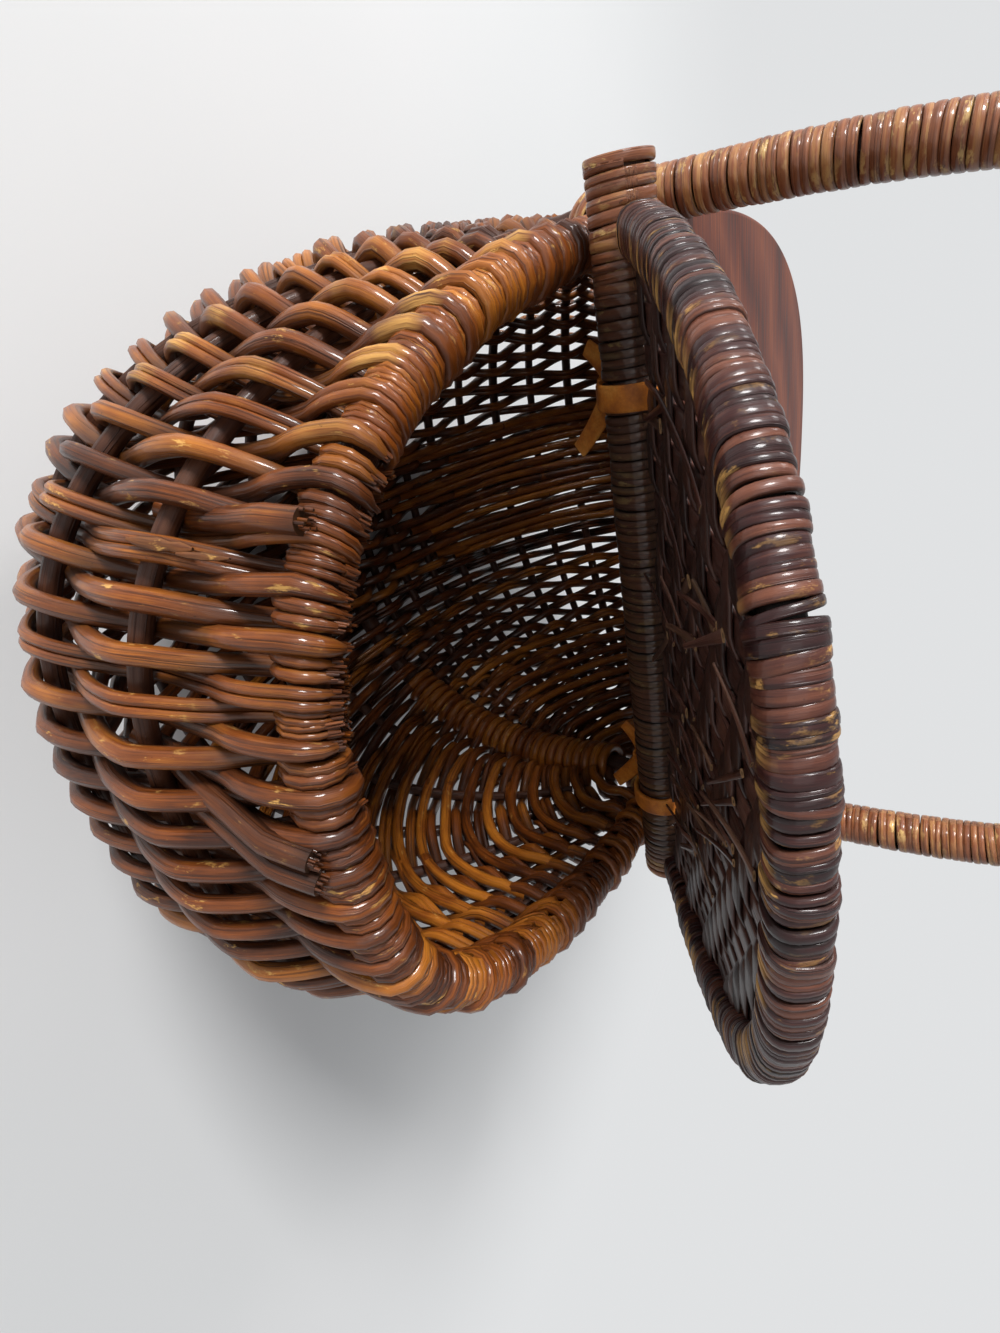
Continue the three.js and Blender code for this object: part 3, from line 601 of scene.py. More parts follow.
def wall_row(share_of, side, seed):
    """One row of the weave from the front rim to the back one.

    Side is 1 where the row passes outside the first rib and so ends inside the rim.
    """
    phi = np.linspace(0, math.pi, 331)
    ribs = phi / RIB_STEP

    def noise(step, offset):
        return smooth_noise(len(phi), step, seed + offset)

    drift = 0.13 * PERIOD * noise(24, 3) * np.sin(phi) ** 0.6
    point, out = wall_at(share_of(phi) + drift, phi)
    # Ribs are twice as close behind the keel, and where they are close the rod bends less
    spread = np.hypot(point[:, 1], RIM_Z - point[:, 2]) * RIB_STEP
    doubled = (ribs > KEEL_PLACE) & (ribs < LAST_BACK_RIB)
    calm = np.clip(np.where(doubled, spread / 2, spread) / 20.0, 0.3, 1.0)
    passed = ribs + np.clip(ribs, KEEL_PLACE, LAST_BACK_RIB) - KEEL_PLACE
    bend = np.cos(math.pi * passed)
    wave = -side * (0.55 * bend + 0.45 * np.arcsin(np.clip(bend, -1, 1)) * 2 / math.pi)
    keel = np.exp(-((ribs - KEEL_PLACE) / 0.6) ** 2)
    crown = RIB_SHOWN_RADIUS + ROD_RADIUS
    inside = crown + keel * 2 * (HANDLE_RADIUS - RIB_RADIUS)
    offset = np.where(wave > 0, crown + keel * 0.4, inside) * wave * calm
    end = np.clip(1 - np.minimum(ribs, 2 * KEEL_PLACE - ribs) / 0.5, 0, 1)
    rim_offset = -side * (RIM_RADIUS + (WRAP_RADIUS if side > 0 else ROD_RADIUS))
    offset = offset * (1 - end) + rim_offset * end + 0.5 * noise(18, 0) * (1 - end)
    radius = ROD_RADIUS * (1 + 0.09 * noise(50, 1) + 0.035 * noise(7, 2))
    crest = np.clip((offset - 3.4) / 1.2, 0, 1) * (ribs < RIBS_PER_SIDE)
    bared = crest * np.clip(2 * noise(20, 4), 0, 1) * np.interp(share_of(phi), SHOULDER_SHARES, (0, 1))
    worn = np.clip(offset / 4.0, 0, 1) + SHOULDER_WEAR * bared
    # Painted shade: rows are darker where they dip close to the ribs, in the hollows of the weave, and on
    # each rod's side that faces in towards the ribs
    grime = 0.36 * np.clip(1 - np.abs(offset) / 4.5, 0, 1) * (1 - end)
    facing = np.clip(offset / 3.0, -1, 1)
    return point + out * offset[:, None], out, radius, worn, grime, facing


def rim_wraps(start, stops, phi):
    """Turns of a weaver round the rim from a start share. Stops are (degrees, share, radius)."""
    angles = np.arange(stops[0][0], stops[-1][0], math.copysign(WRAP_STEP, stops[-1][0] - stops[0][0]))
    keys, shares, radii = np.array(sorted(stops)).T
    radius = np.interp(angles, keys, radii)
    centre, out = rim_frame(start + np.interp(angles, keys, shares), phi)
    turn = np.radians(angles)[:, None]
    direction = out * np.cos(turn) + UP * np.sin(turn)
    path = centre + direction * (RIM_RADIUS + WRAP_CLEARANCE + radius)[:, None]
    worn = np.clip(np.cos(turn[:, 0] - 0.6), 0, 1)
    return path, direction, radius, worn, np.zeros_like(worn), np.ones_like(worn)


def uneven(stops, random):
    """The same stops, each a little off its place and thickness, with shares in place of periods."""
    moved = []
    for i, (angle, periods, radius) in enumerate(stops):
        inner = 0 < i < len(stops) - 1
        shift = PERIOD * random.uniform(-0.045, 0.045) if inner else 0.0
        moved.append((angle, periods * PERIOD + shift, radius * random.uniform(0.88, 1.12)))
    return moved


def weaver_path(k, random):
    """A weaver's two rows with its turns round both rims: points, outward directions and looks."""
    start = k * PERIOD
    seed = 100 + 10 * k

    def first(phi):
        near = np.clip(1 - phi / RIB_STEP / 0.8, 0, 1)
        far = np.clip(1 - (math.pi - phi) / RIB_STEP / 0.8, 0, 1)
        return start + PERIOD * (0.25 - 0.19 * near + 0.2 * far)

    def second(phi):
        return start + PERIOD * np.full_like(phi, 0.75)

    back_stops = BACK_STOPS if k < WEAVERS - 1 else BACK_STOPS[:2]
    pieces = ([part[::-1] for part in wall_row(first, 1, seed)],
              rim_wraps(start, uneven(FRONT_STOPS, random), 0.0),
              wall_row(second, -1, seed + 5),
              rim_wraps(start, uneven(back_stops, random), math.pi))
    return resample(ROD_SPACING, *[np.concatenate(parts) for parts in zip(*pieces)])


def add_weaver(rods, k, random):
    """One weaver as a single rod or a pair of thin ones, broken where the rim is worn."""
    path, out, radius, worn, grime, facing = weaver_path(k, random)
    count = len(path)
    radius = radius * random.uniform(0.94, 1.05) * np.linspace(1.07, 0.93, count)
    path[:, 2] = np.maximum(path[:, 2], 0.92 * radius + 0.3)
    tone = random.random()
    lanes, thickness = ((-0.55, 0.55), 0.6) if random.random() < PAIRED_RODS else ((0.0,), 1.0)
    breaks = []
    fray = rng(900 + k)
    if WORN_RIM[0] < k * PERIOD < WORN_RIM[1]:
        breaks = worn_rim_breaks(path, random)
        on_rim = np.clip((path[:, 2] - RIM_Z + 6) / 6, 0, 1) * (path[:, 1] < 0)
        grime = grime + WORN_RIM_GRIME * on_rim
    sideways = unit(np.cross(np.gradient(path, axis=0), out))
    for lane in lanes:
        strand = path + sideways * (lane * radius)[:, None]
        for run in runs_between(breaks, count):
            taper = frayed(run, count)
            # Darkened by painted shade in the row's hollows and on its side towards the ribs, by dirt on the
            # worn rim, and towards broken ends
            rods.add(strand[run], out[run], radius[run] * thickness * taper, tone=tone, worn=worn[run],
                     grime=grime[run] + 0.6 * (1 - taper), groove=0.7, facing=facing[run])
            if run.stop < count:
                add_splinters(rods, strand[run], out[run.stop - 1], fray, 0.7 * WRAP_RADIUS, 6)
            if run.start > 0:
                add_splinters(rods, strand[run][::-1], out[run.start], fray, 0.7 * WRAP_RADIUS, 6)


def runs_between(breaks, count):
    """Slices of a path of so many points, with a point left out at each break."""
    edges = [-1, *breaks, count]
    return [slice(low + 1, high) for low, high in zip(edges, edges[1:]) if high - low > 3]


def frayed(run, count):
    """Thins a run of a rod towards the ends where it is worn through."""
    places = np.arange(run.start, run.stop)
    from_start = places - run.start if run.start > 0 else np.full(len(places), 9)
    from_end = run.stop - 1 - places if run.stop < count else np.full(len(places), 9)
    return np.interp(np.minimum(from_start, from_end), [0, 1, 2], [0.55, 0.85, 1.0])


RIM_POINTS, RIM_OUTS = rim_frame(np.linspace(0, 1, 400), 0.0)


def worn_rim_breaks(path, random):
    """Places on the inner edge of the front rim where the turns of a weaver have worn through."""
    near_edge = np.flatnonzero((np.abs(path[:, 2] - RIM_Z - 3.5) < 2.2) & (path[:, 1] < 0))
    chosen = []
    for i in near_edge:
        nearest = np.argmin(np.linalg.norm(RIM_POINTS - path[i], axis=1))
        inward = np.dot(path[i] - RIM_POINTS[nearest], RIM_OUTS[nearest])
        far_enough = not chosen or i - chosen[-1] > 4
        if -5.2 < inward < -2.0 and far_enough and random.random() < BROKEN_TURNS:
            chosen.append(int(i))
    return chosen


def add_splinters(rods, path, outward, random, reach=ROD_RADIUS, count=11):
    """Broken fibres that stand out from the last end of a rod, within reach of its middle."""
    along = unit(path[-1] - path[-3])
    side = unit(np.cross(along, outward))
    normal = np.cross(side, along)
    run = np.linspace(-1, 1, 5)[:, None]
    for turn in np.arange(count) * 2 * math.pi / count:
        turn = turn + random.uniform(-0.25, 0.25)
        radial = side * math.cos(turn) + normal * math.sin(turn)
        start = path[-1] + radial * reach * random.uniform(0.45, 0.95)
        fibre = start + along * (random.uniform(0.7, 2.4) * run)
        rods.add(fibre, radial, random.uniform(0.35, 0.65) * np.linspace(1, 0.55, 5), sides=6,
                 tone=random.uniform(0.1, 0.5), grime=random.uniform(0.2, 0.75))


def add_cut_butt(rods, share_at_rib, share_at_end, grime, random):
    """A thick rod end, cut off where it comes over the bead from behind the first rib."""
    blend = np.linspace(0, 1, 40)
    share = share_at_rib + (share_at_end - share_at_rib) * blend
    point, out = wall_at(share, (1.25 - 1.23 * blend) * RIB_STEP)
    top = RIM_RADIUS + 2 * WRAP_RADIUS + ROD_RADIUS - 0.6
    offset = np.interp(blend, [0, 0.2, 0.62, 0.82, 1.0], [-4.0, -4.6, 3.2, top - 1.0, top])
    path = resample(2.5, point + out * offset[:, None])[0]
    out = out[np.linspace(0, len(out) - 1, len(path)).astype(int)]
    near_end = np.interp(np.arange(len(path))[::-1], [0, 2], [0.35, 0])
    # Darker towards the cut end, with painted shade on the side away from outward
    rods.add(path, out, 1.1 * ROD_RADIUS, sides=12, tone=random.uniform(0.1, 0.3), worn=0.6,
             grime=grime + near_end, groove=0.6)
    add_splinters(rods, path, out[-1], random)


def add_bark_sliver(rods, share, first, last, half_width):
    """A strip of bark that has lifted off a rod, from a first to a last place in ribs."""
    ribs = np.linspace(first, last, 16)
    point, out = wall_at(share, ribs * RIB_STEP)
    offset = np.interp(ribs, [0.42, 0.65, 0.8, 1.0], [5.4, 5.6, 6.7, 7.7])
    width = half_width * (1 + 0.3 * smooth_noise(len(ribs), 3, int(1e4 * share)))
    width = width * np.interp(np.arange(len(ribs)), [0, 3, 12, 15], [0.3, 1.0, 0.9, 0.2])
    # Painted shade on the strip's side away from outward
    rods.add(point + out * offset[:, None], out, width, 0.35, squareness=0.6, tone=0.3, worn=1.1, grime=0.3,
             groove=0.8)


def add_inside_rod(rods, share, low, high, random):
    """A rod on the inside of the wall, which runs past all the ribs from place low to high."""
    phi = np.linspace(low, high, 60) * RIB_STEP
    sway = 0.1 * PERIOD * smooth_noise(60, 14, int(1e4 * share) + int(low))
    point, out = wall_at(share + sway, phi)
    depth = RIB_SHOWN_RADIUS + ROD_RADIUS + 0.4 * smooth_noise(60, 9, int(2e4 * share) + int(low))
    depth[:6] = np.linspace(2.0, depth[5], 6)
    depth[-6:] = np.linspace(depth[-6], 0.5, 6)
    path, out = resample(3.4, point - out * depth[:, None], out)
    radius = ROD_RADIUS * random.uniform(0.9, 1.08)
    # Painted shade on the rod's side towards the wall
    rods.add(path, out, radius, tone=random.random(), worn=0.5, groove=0.7, facing=-1.0)


def add_keel_loop(rods, share, random):
    """A turn over the inside of the keel, between the rows that pass there."""
    point, out = wall_at(share, math.pi / 2)
    centre = point - out * (HANDLE_RADIUS - RIB_RADIUS)
    angle = np.radians(np.linspace(-100, 100, 24))[:, None]
    direction = -out * np.cos(angle) + ALONG_Y * np.sin(angle)
    radius = ROD_RADIUS * random.uniform(0.92, 1.02)
    lean = unit(np.cross(out, ALONG_Y)) * (0.8 * np.sin(angle))
    # Painted shade on the loop's side against the keel
    rods.add(centre + direction * (HANDLE_RADIUS + 0.9 + radius) + lean, direction, radius,
             tone=random.uniform(0.5, 1.0), worn=1.0, groove=0.5)


def build_weave():
    halves = {"right": Rods(), "left": Rods()}
    random = rng(5)
    for k in range(WEAVERS):
        rods = halves["right" if k < WEAVERS / 2 else "left"]
        add_weaver(rods, k, random)
        shares = (k * PERIOD + 0.25 * PERIOD, k * PERIOD + 0.75 * PERIOD)
        for share in shares:
            if min(share, 1 - share) < KEEL_WRAPPED_SHARE:
                add_keel_loop(rods, share, random)
        if min(shares[1], 1 - shares[1]) < END_WALL_SHARE:
            add_inside_rod(rods, shares[1], *FRONT_RUN, random)
            add_inside_rod(rods, shares[1], *BACK_RUN, random)
        for share in shares:
            if PACKED_BACK[0] < share < PACKED_BACK[1]:
                draws = rng(int(1e5 * share))
                last = BACK_RUN[1] + draws.uniform(-0.2, 1.4)
                add_inside_rod(rods, share, BACK_RUN[0], last, draws)
    for share_at_rib, share_at_end, grime in CUT_BUTTS:
        half = "right" if share_at_end < 0.5 else "left"
        add_cut_butt(halves[half], share_at_rib, share_at_end, grime, random)
    for sliver in BARK_SLIVERS:
        add_bark_sliver(halves["left"], *sliver)
    for half, rods in halves.items():
        rods.make(f"weave_{half}", WILLOW, "basket", "willow_weave", [f"woven_wall_{half}"])


def add_rib(rods, phi, inset, radius, count, seed):
    """A rib with thin tips, which starts at an inset share of the way from the ear to the middle."""
    first = first_theta(phi)
    first += (math.pi / 2 - first) * inset
    place_on_rib = np.arange(count)
    from_tip = np.minimum(place_on_rib, place_on_rib[::-1])
    rods.add(*surface(np.linspace(first, math.pi - first, count), phi),
             np.interp(from_tip, [0, 8], [RIB_TIP_RADIUS, radius]), sides=10,
             tone=0.2 + 0.6 * rng(seed).random())


def build_ribs():
    """The ribs, and thinner ones in between at the back, where the weave is closer."""
    for i in range(1, RIBS_PER_SIDE + 1):
        # The ribs next to the rim start further from the ears
        inset = ((3 if i == 1 else 1) / 12) ** 1.25
        for side, phi in (("front", i * RIB_STEP), ("back", math.pi - i * RIB_STEP)):
            rods = Rods()
            add_rib(rods, phi, inset, RIB_SHOWN_RADIUS, 90, 40 + i)
            rods.make(f"rib_rod_{side}_{i}", FRAME_WOOD, "basket", "frame_rod", [f"rib_{side}_{i}"])
    between = Rods()
    for i in range(KEEL_PLACE, LAST_BACK_RIB):
        add_rib(between, (i + 0.5) * RIB_STEP, 0.3, BETWEEN_RIB_RADIUS, 80, 60 + i)
    between.make("rib_rods_between", FRAME_WOOD, "basket", "frame_rod")


def build_rim():
    theta = np.linspace(0, math.pi, 160)
    back = body_point(theta, math.pi)[::-1]
    path = np.concatenate([body_point(theta, 0.0), back[1:-1]])
    rods = Rods()
    rods.add(resample(4.0, path)[0][:-1], UP, RIM_RADIUS, sides=12, tone=0.45, closed=True)
    rods.make("rim_rod", FRAME_WOOD, "basket", "frame_rod", ["rim_hoop"])


# Handle

def bow_point(theta):
    x = HANDLE_X * signed_power(np.cos(theta), 2 / HANDLE_EXPONENT)
    z = RIM_Z + HANDLE_RISE * np.abs(np.sin(theta)) ** (2 / HANDLE_EXPONENT)
    return np.stack([x, np.zeros_like(x), z], -1)


def build_handle():
    """The ring of bow, legs and keel."""
    start = first_theta(math.pi / 2)
    point, out = surface(np.linspace(math.pi - start, start, 160), math.pi / 2)
    keel = point - out * (HANDLE_RADIUS - RIB_RADIUS)
    path = np.concatenate([bow_point(np.linspace(0, math.pi, 400)), keel])
    rods = Rods()
    rods.add(resample(4.0, looped(path))[0][:-1], ALONG_Y, HANDLE_RADIUS, sides=12, tone=0.5, closed=True)
    rods.make("handle_rod", FRAME_WOOD, "basket", "frame_rod", ["handle_hoop"])


def winding(rods, path, across, upward, half_sizes, pitch, strip, seed, squareness=1.0, steps=18, gaps=0.0,
            slip=1.0, vary=0.16, slack=0.12, bare=0.0, grime=0.0):
    """Flat cane wound round a path, turn on turn.

    Across and upward are the directions of the core's section at each point, half_sizes the
    distances to the strip's middle along them, and strip its half width and half height. Gaps
    is the share of turns that have slipped apart from the next one, slip the widest such gap
    in turns, vary how far the widths differ, slack how far the turns stand off the core in mm,
    and bare the wear on the lower face. The darkening all along may be a function of the share of the way
    along; along the hinge rod it is a painted shadow.
    A turn begins opposite the across direction, where its joint shows least.
    """
    length = distances(path)
    turns = int(length[-1] / pitch)

    def draws(offset):
        return rng(seed + offset)

    widths = 1 + vary * draws(0).uniform(-1, 1, turns + 1)
    slipped = np.where(draws(5).random(turns + 1) < gaps, slip * draws(6).uniform(0.4, 1.0, turns + 1), 0)
    edges = np.concatenate([[0], np.cumsum(widths + slipped)])
    edges *= length[-1] / edges[-1]
    turn = np.arange((turns + 1) * steps + 1) / steps
    whole = np.minimum(turn.astype(int), turns)
    angle = 2 * math.pi * turn + math.pi
    lean = draws(1).normal(0, 0.13 * pitch, turns + 1)
    places = np.interp(turn, np.arange(turns + 2), edges)
    places = np.clip(places + lean[whole] * np.sin(angle), 0, length[-1])

    def at(values):
        return values_at(places, length, np.broadcast_to(values, path.shape))

    def by_turn(values):
        return np.interp(turn, np.arange(turns + 1) + 0.5, values)

    lift = by_turn(np.clip(draws(2).normal(0, slack, turns + 1), -0.4, 0.4))
    a, u = unit(at(across)), unit(at(upward))
    section_x = signed_power(np.cos(angle), squareness) * (half_sizes[0] + lift)
    section_y = signed_power(np.sin(angle), squareness) * (half_sizes[1] + lift)
    outward = a * (np.cos(angle) / half_sizes[0])[:, None] + u * (np.sin(angle) / half_sizes[1])[:, None]
    strand = at(path) + a * section_x[:, None] + u * section_y[:, None]
    worn = by_turn(draws(4).uniform(0.2, 1, turns + 1)) * (0.25 + 0.75 * np.abs(np.sin(2 * angle)) ** 3)
    corner = np.clip(-np.sin(angle + math.radians(8)), 0, 1) ** 5
    worn = worn + bare * corner * draws(7).random(turns + 1)[whole] ** 2
    # The strip's edges and its face against the core carry strong painted shade, so the grooves between turns
    # read dark
    dirt_and_shade = grime(places / length[-1]) if callable(grime) else grime
    tone = draws(3).uniform(0, 1, turns + 1)[whole]
    rods.add(strand, outward, strip[0] * by_turn(widths), strip[1], sides=12, tone=tone, worn=worn,
             squareness=STRIP_SQUARENESS, grime=dirt_and_shade, groove=1.7)


def build_handle_binding():
    start = math.asin((HANDLE_BINDING_START / HANDLE_RISE) ** (HANDLE_EXPONENT / 2))
    path = resample(2.0, bow_point(np.linspace(start, math.pi - start, 400)))[0]
    across = unit(np.cross(ALONG_Y, unit(np.gradient(path, axis=0))))
    middle = HANDLE_BINDING_RADIUS - HANDLE_STRIP[1]
    rods = Rods()
    winding(rods, path, across, ALONG_Y, (middle, middle), HANDLE_PITCH, HANDLE_STRIP, 300, vary=0.22)
    rods.make("handle_winding", HANDLE_CANE, "basket", "handle_cane", ["handle_binding"])


def build_lashing(side, sign):
    """Cane crossed over the place where rim, handle and rib ends meet."""
    centre = np.array([sign * (RIM_HALF_WIDTH + HANDLE_X) / 2, 0, RIM_Z - LASHING_DROP])
    half = LASHING_SIZE / 2 - 1.4
    rods = Rods()
    turn = np.linspace(0, 2 * math.pi, 48, endpoint=False)[:, None]
    random = rng(400 + sign)
    for lean, grow in ((math.radians(45), 1.05), (math.radians(-45), 1.0)):
        along_band = np.array([0, math.cos(lean), math.sin(lean)])
        across_band = np.array([0, -math.sin(lean), math.cos(lean)])
        for level in 0.34 * np.arange(-2, 3):
            ball = (ALONG_X * np.cos(turn) + along_band * np.sin(turn)) * math.sqrt(1 - level * level)
            ball = ball + across_band * level
            rods.add(centre + ball * half * grow, ball / half, 2.0, 1.1, closed=True, tone=random.random(),
                     worn=0.7)
    rods.make(f"ear_winding_{side}", HANDLE_CANE, "basket", "handle_cane", [f"ear_lashing_{side}"])


# Deck

def deck_outline():
    """The deck's edge, with a round notch for each leg of the handle."""
    corner = math.asin((DECK_FRONT / -RIM_HALF_LENGTH) ** (RIM_EXPONENT / 2))
    angle = np.linspace(-corner, math.pi + corner, 120)
    x = DECK_HALF_WIDTH * signed_power(np.cos(angle), 2 / RIM_EXPONENT)
    y = RIM_HALF_LENGTH * signed_power(np.sin(angle), 2 / RIM_EXPONENT)
    edge = np.stack([x, y], -1)
    opening = math.acos((HANDLE_X - DECK_HALF_WIDTH) / NOTCH_RADIUS)
    turn = np.linspace(-opening, opening, 13)
    notch = np.stack([HANDLE_X - NOTCH_RADIUS * np.cos(turn), NOTCH_RADIUS * np.sin(turn)], -1)
    beside = NOTCH_RADIUS * math.sin(opening) + 0.5
    front_right = edge[(x > 0) & (y < -beside)]
    front_left = edge[(x < 0) & (y < -beside)]
    return np.concatenate([front_right, notch, edge[y > beside], notch[::-1] * np.array([-1, 1]), front_left])


def build_deck():
    curve = bpy.data.curves.new("deck_outline", "CURVE")
    curve.dimensions = "2D"
    curve.fill_mode = "BOTH"
    curve.extrude = (DECK_THICKNESS / 2 - DECK_ROUNDING) * MM
    curve.bevel_depth = DECK_ROUNDING * MM
    curve.bevel_resolution = 3
    curve.offset = -DECK_ROUNDING * MM
    outlines = [deck_outline()]
    for x in TIE_PLACES:
        half = np.array([TIE_WIDTH, TIE_THICKNESS]) / 2 + TIE_CLEARANCE + DECK_ROUNDING
        middle = np.array([x, SLOT_Y + TIE_THICKNESS / 2])
        outlines.append(middle + half * np.array([[-1, -1], [-1, 1], [1, 1], [1, -1]]))
    for outline in outlines:
        spline = curve.splines.new("POLY")
        spline.points.add(len(outline) - 1)
        spline.use_cyclic_u = True
        for point, (x, y) in zip(spline.points, outline * MM):
            point.co = (x, y, 0, 1)
    holder = bpy.data.objects.new("deck_outline", curve)
    bpy.context.scene.collection.objects.link(holder)
    bpy.context.view_layer.update()
    mesh = bpy.data.meshes.new_from_object(holder.evaluated_get(bpy.context.evaluated_depsgraph_get()))
    bpy.data.objects.remove(holder)
    mesh.name = "deck"
    mesh.transform(Matrix.Translation((0, 0, (DECK_BOTTOM + DECK_THICKNESS / 2) * MM)))
    mesh.materials.clear()
    mesh.materials.append(BOARD)
    place(bpy.data.objects.new("deck", mesh), "basket", ["deck_board"])


# Lid, drawn closed about the hinge line and then turned to where it rests

def lid_turn(vectors):
    c, s = math.cos(-LID_OPEN), math.sin(-LID_OPEN)
    return vectors @ np.array([[1, 0, 0], [0, c, -s], [0, s, c]]).T


def lid_place(points):
    return lid_turn(points) + HINGE


LID_UP = lid_turn(UP)


def lid_point(angle):
    x = LID_HALF_WIDTH * signed_power(np.cos(angle), 2 / LID_EXPONENT)
    y = HINGE_OFFSET - LID_REACH * np.abs(np.sin(angle)) ** (2 / LID_EXPONENT)
    return np.stack([x, y, np.full_like(x, LID_LIFT)], -1)


def build_lid_band():
    start = math.asin(((HINGE_OFFSET + HINGE_SEAT) / LID_REACH) ** (LID_EXPONENT / 2))
    path = resample(2.0, lid_point(np.linspace(start, math.pi - start, 400)))[0]
    out = unit(np.cross(UP, np.gradient(path, axis=0)))
    half_sizes = (LID_BAND_WIDTH / 2 - BAND_COVER, LID_BAND_HEIGHT / 2 - BAND_COVER)
    rods = Rods()
    winding(rods, lid_place(path), lid_turn(out), LID_UP, half_sizes, BAND_PITCH, BAND_STRIP, 500,
            squareness=0.72, steps=24, gaps=0.09, slip=1.7, vary=0.42, slack=0.22, bare=2.2)
    rods.make("lid_winding", LID_CANE, "lid", "lid_cane", ["lid_binding"])
    # The core is darkened almost to black, painted shade for where it shows between the turns of the band
    core = Rods()
    core.add(lid_place(path), LID_UP, *LID_CORE_HALF_SIZES, sides=12, squareness=STRIP_SQUARENESS, tone=0.2,
             grime=0.95)
    core.make("lid_core", FRAME_WOOD, "lid", "frame_rod", ["lid_hoop"])


def add_end_coil(rods, end, radius):
    """The last turns of cane, which close over an end of the hinge rod: a ring and a coil in it."""
    def round_axis(x, size, angle):
        return np.stack([np.broadcast_to(x, angle.shape), size * np.cos(angle), size * np.sin(angle)], -1)

    coil_turns = 2.7
    sign = math.copysign(1, end)
    radial = round_axis(0.0, 1.0, np.linspace(0, 2 * math.pi, 48, endpoint=False))
    ring = radial * radius + ALONG_X * (end - sign * 1.75)
    # Ring and coil both carry painted shade on their inner side
    rods.add(lid_place(ring), lid_turn(radial), 1.3, 0.9, sides=12, tone=0.4, worn=0.8,
             squareness=STRIP_SQUARENESS, closed=True, groove=1.2)
    share = np.linspace(0, 1, 100)
    angle = sign * 2 * math.pi * coil_turns * share
    reach = 0.83 - 0.74 * share
    path = round_axis(end - sign * (0.9 + 0.9 * reach ** 3), radius * reach, angle)
    outward = round_axis(0.9 * sign, reach ** 2, angle)
    rods.add(lid_place(path), lid_turn(outward), 1.15, 0.85, sides=10, tone=0.55, worn=0.7, squareness=0.7,
             groove=1.0)


def hinge_path(inset, count):
    return lid_place(np.linspace(HINGE_LEFT + inset, HINGE_RIGHT - inset, count)[:, None] * ALONG_X)


def hinge_shadow(share):
    """Painted shadow along the hinge rod, where the deck and the lid shade it, and none where it stands past
    the lid on the left.
    """
    return np.interp(share, [0.06, 0.14, 0.95, 1.0], [0.0, 0.78, 0.75, 0.3])


def build_hinge():
    rod = Rods()
    rod.add(hinge_path(2.2, 40), LID_UP, HINGE_ROD_RADIUS, sides=16, tone=0.6)
    rod.make("hinge_rod", FRAME_WOOD, "lid", "frame_rod", ["lid_hinge_rod"])
    middle = HINGE_BINDING_RADIUS - HINGE_STRIP[1]
    cane = Rods()
    winding(cane, hinge_path(2.6, 200), lid_turn(ALONG_Y), LID_UP, (middle, middle), HINGE_PITCH,
            HINGE_STRIP, 600, vary=0.2, grime=hinge_shadow)
    for end in (HINGE_LEFT, HINGE_RIGHT):
        add_end_coil(cane, end, middle)
    cane.make("hinge_winding", HANDLE_CANE, "lid", "lid_cane", ["lid_rod_binding"])


def lid_half_width(y):
    """Half width of the panel, inside the band, at y from the hinge line."""
    reach = LID_REACH - LID_BAND_WIDTH / 2
    share = np.clip((HINGE_OFFSET - y) / reach, 0, 1)
    return (LID_HALF_WIDTH - LID_BAND_WIDTH / 2) * (1 - share ** LID_EXPONENT) ** (1 / LID_EXPONENT)


def split_row(y, half, j):
    """A flat split along X that passes over two of the lid's warps and under the next two."""
    first = math.ceil(-half / WARP_SPACING) - 1
    warps = np.arange(first, -first + 1)
    sides = np.where((warps + j) % 4 < 2, 1.0, -1.0)
    x = np.linspace(-half, half, max(30, int(half)))
    level = np.interp(x, warps * WARP_SPACING, sides)
    level = level * (1.5 - 0.5 * level ** 2)
    z = LID_LIFT + (WARP_HALF_SIZES[1] + SPLIT_HALF_HEIGHT + 0.1) * level
    wander = 0.35 * smooth_noise(len(x), 20, 710 + j)
    return np.stack([x, y + wander, z], -1)


def by_tie(x, margin):
    """True where x is within a margin of a tie's edges."""
    return np.min([np.abs(x - tie) for tie in TIE_PLACES], axis=0) < TIE_WIDTH / 2 + margin


def warp_run(x, far):
    """A flat split from the hinge rod, or from a tie that goes round it, to the band."""
    beside_tie = by_tie(x, WARP_HALF_SIZES[0] + TIE_ROOM)
    start = HINGE_SEAT + (TIE_THICKNESS + TIE_ROOM if beside_tie else 0.0)
    y = np.linspace(-start, far, 60)
    y = y[lid_half_width(y) > abs(x) - PANEL_TUCK]
    return np.stack([np.full_like(y, x), y, np.full_like(y, LID_LIFT)], -1)


def add_loose_split(rods, far, random):
    """A thin split that has sprung loose under the panel."""
    y = random.uniform(far + 14, -24)
    x = random.uniform(-0.8, 0.8) * float(lid_half_width(y))
    heading = math.radians(90 + random.uniform(-52, 52))
    run = np.linspace(0, 1, 16)[:, None] * random.uniform(10, 30)
    along = np.array([math.cos(heading), math.sin(heading), 0])
    path = np.array([x, y, LID_LIFT - 1.6]) + run * along - UP * 0.004 * run ** 2
    half_width = random.uniform(0.8, 1.9) * np.linspace(1, 0.45, 16)
    rods.add(lid_place(path), -LID_UP, half_width, 0.3, squareness=0.6, tone=random.random(),
             worn=random.uniform(0.8, 1.3))


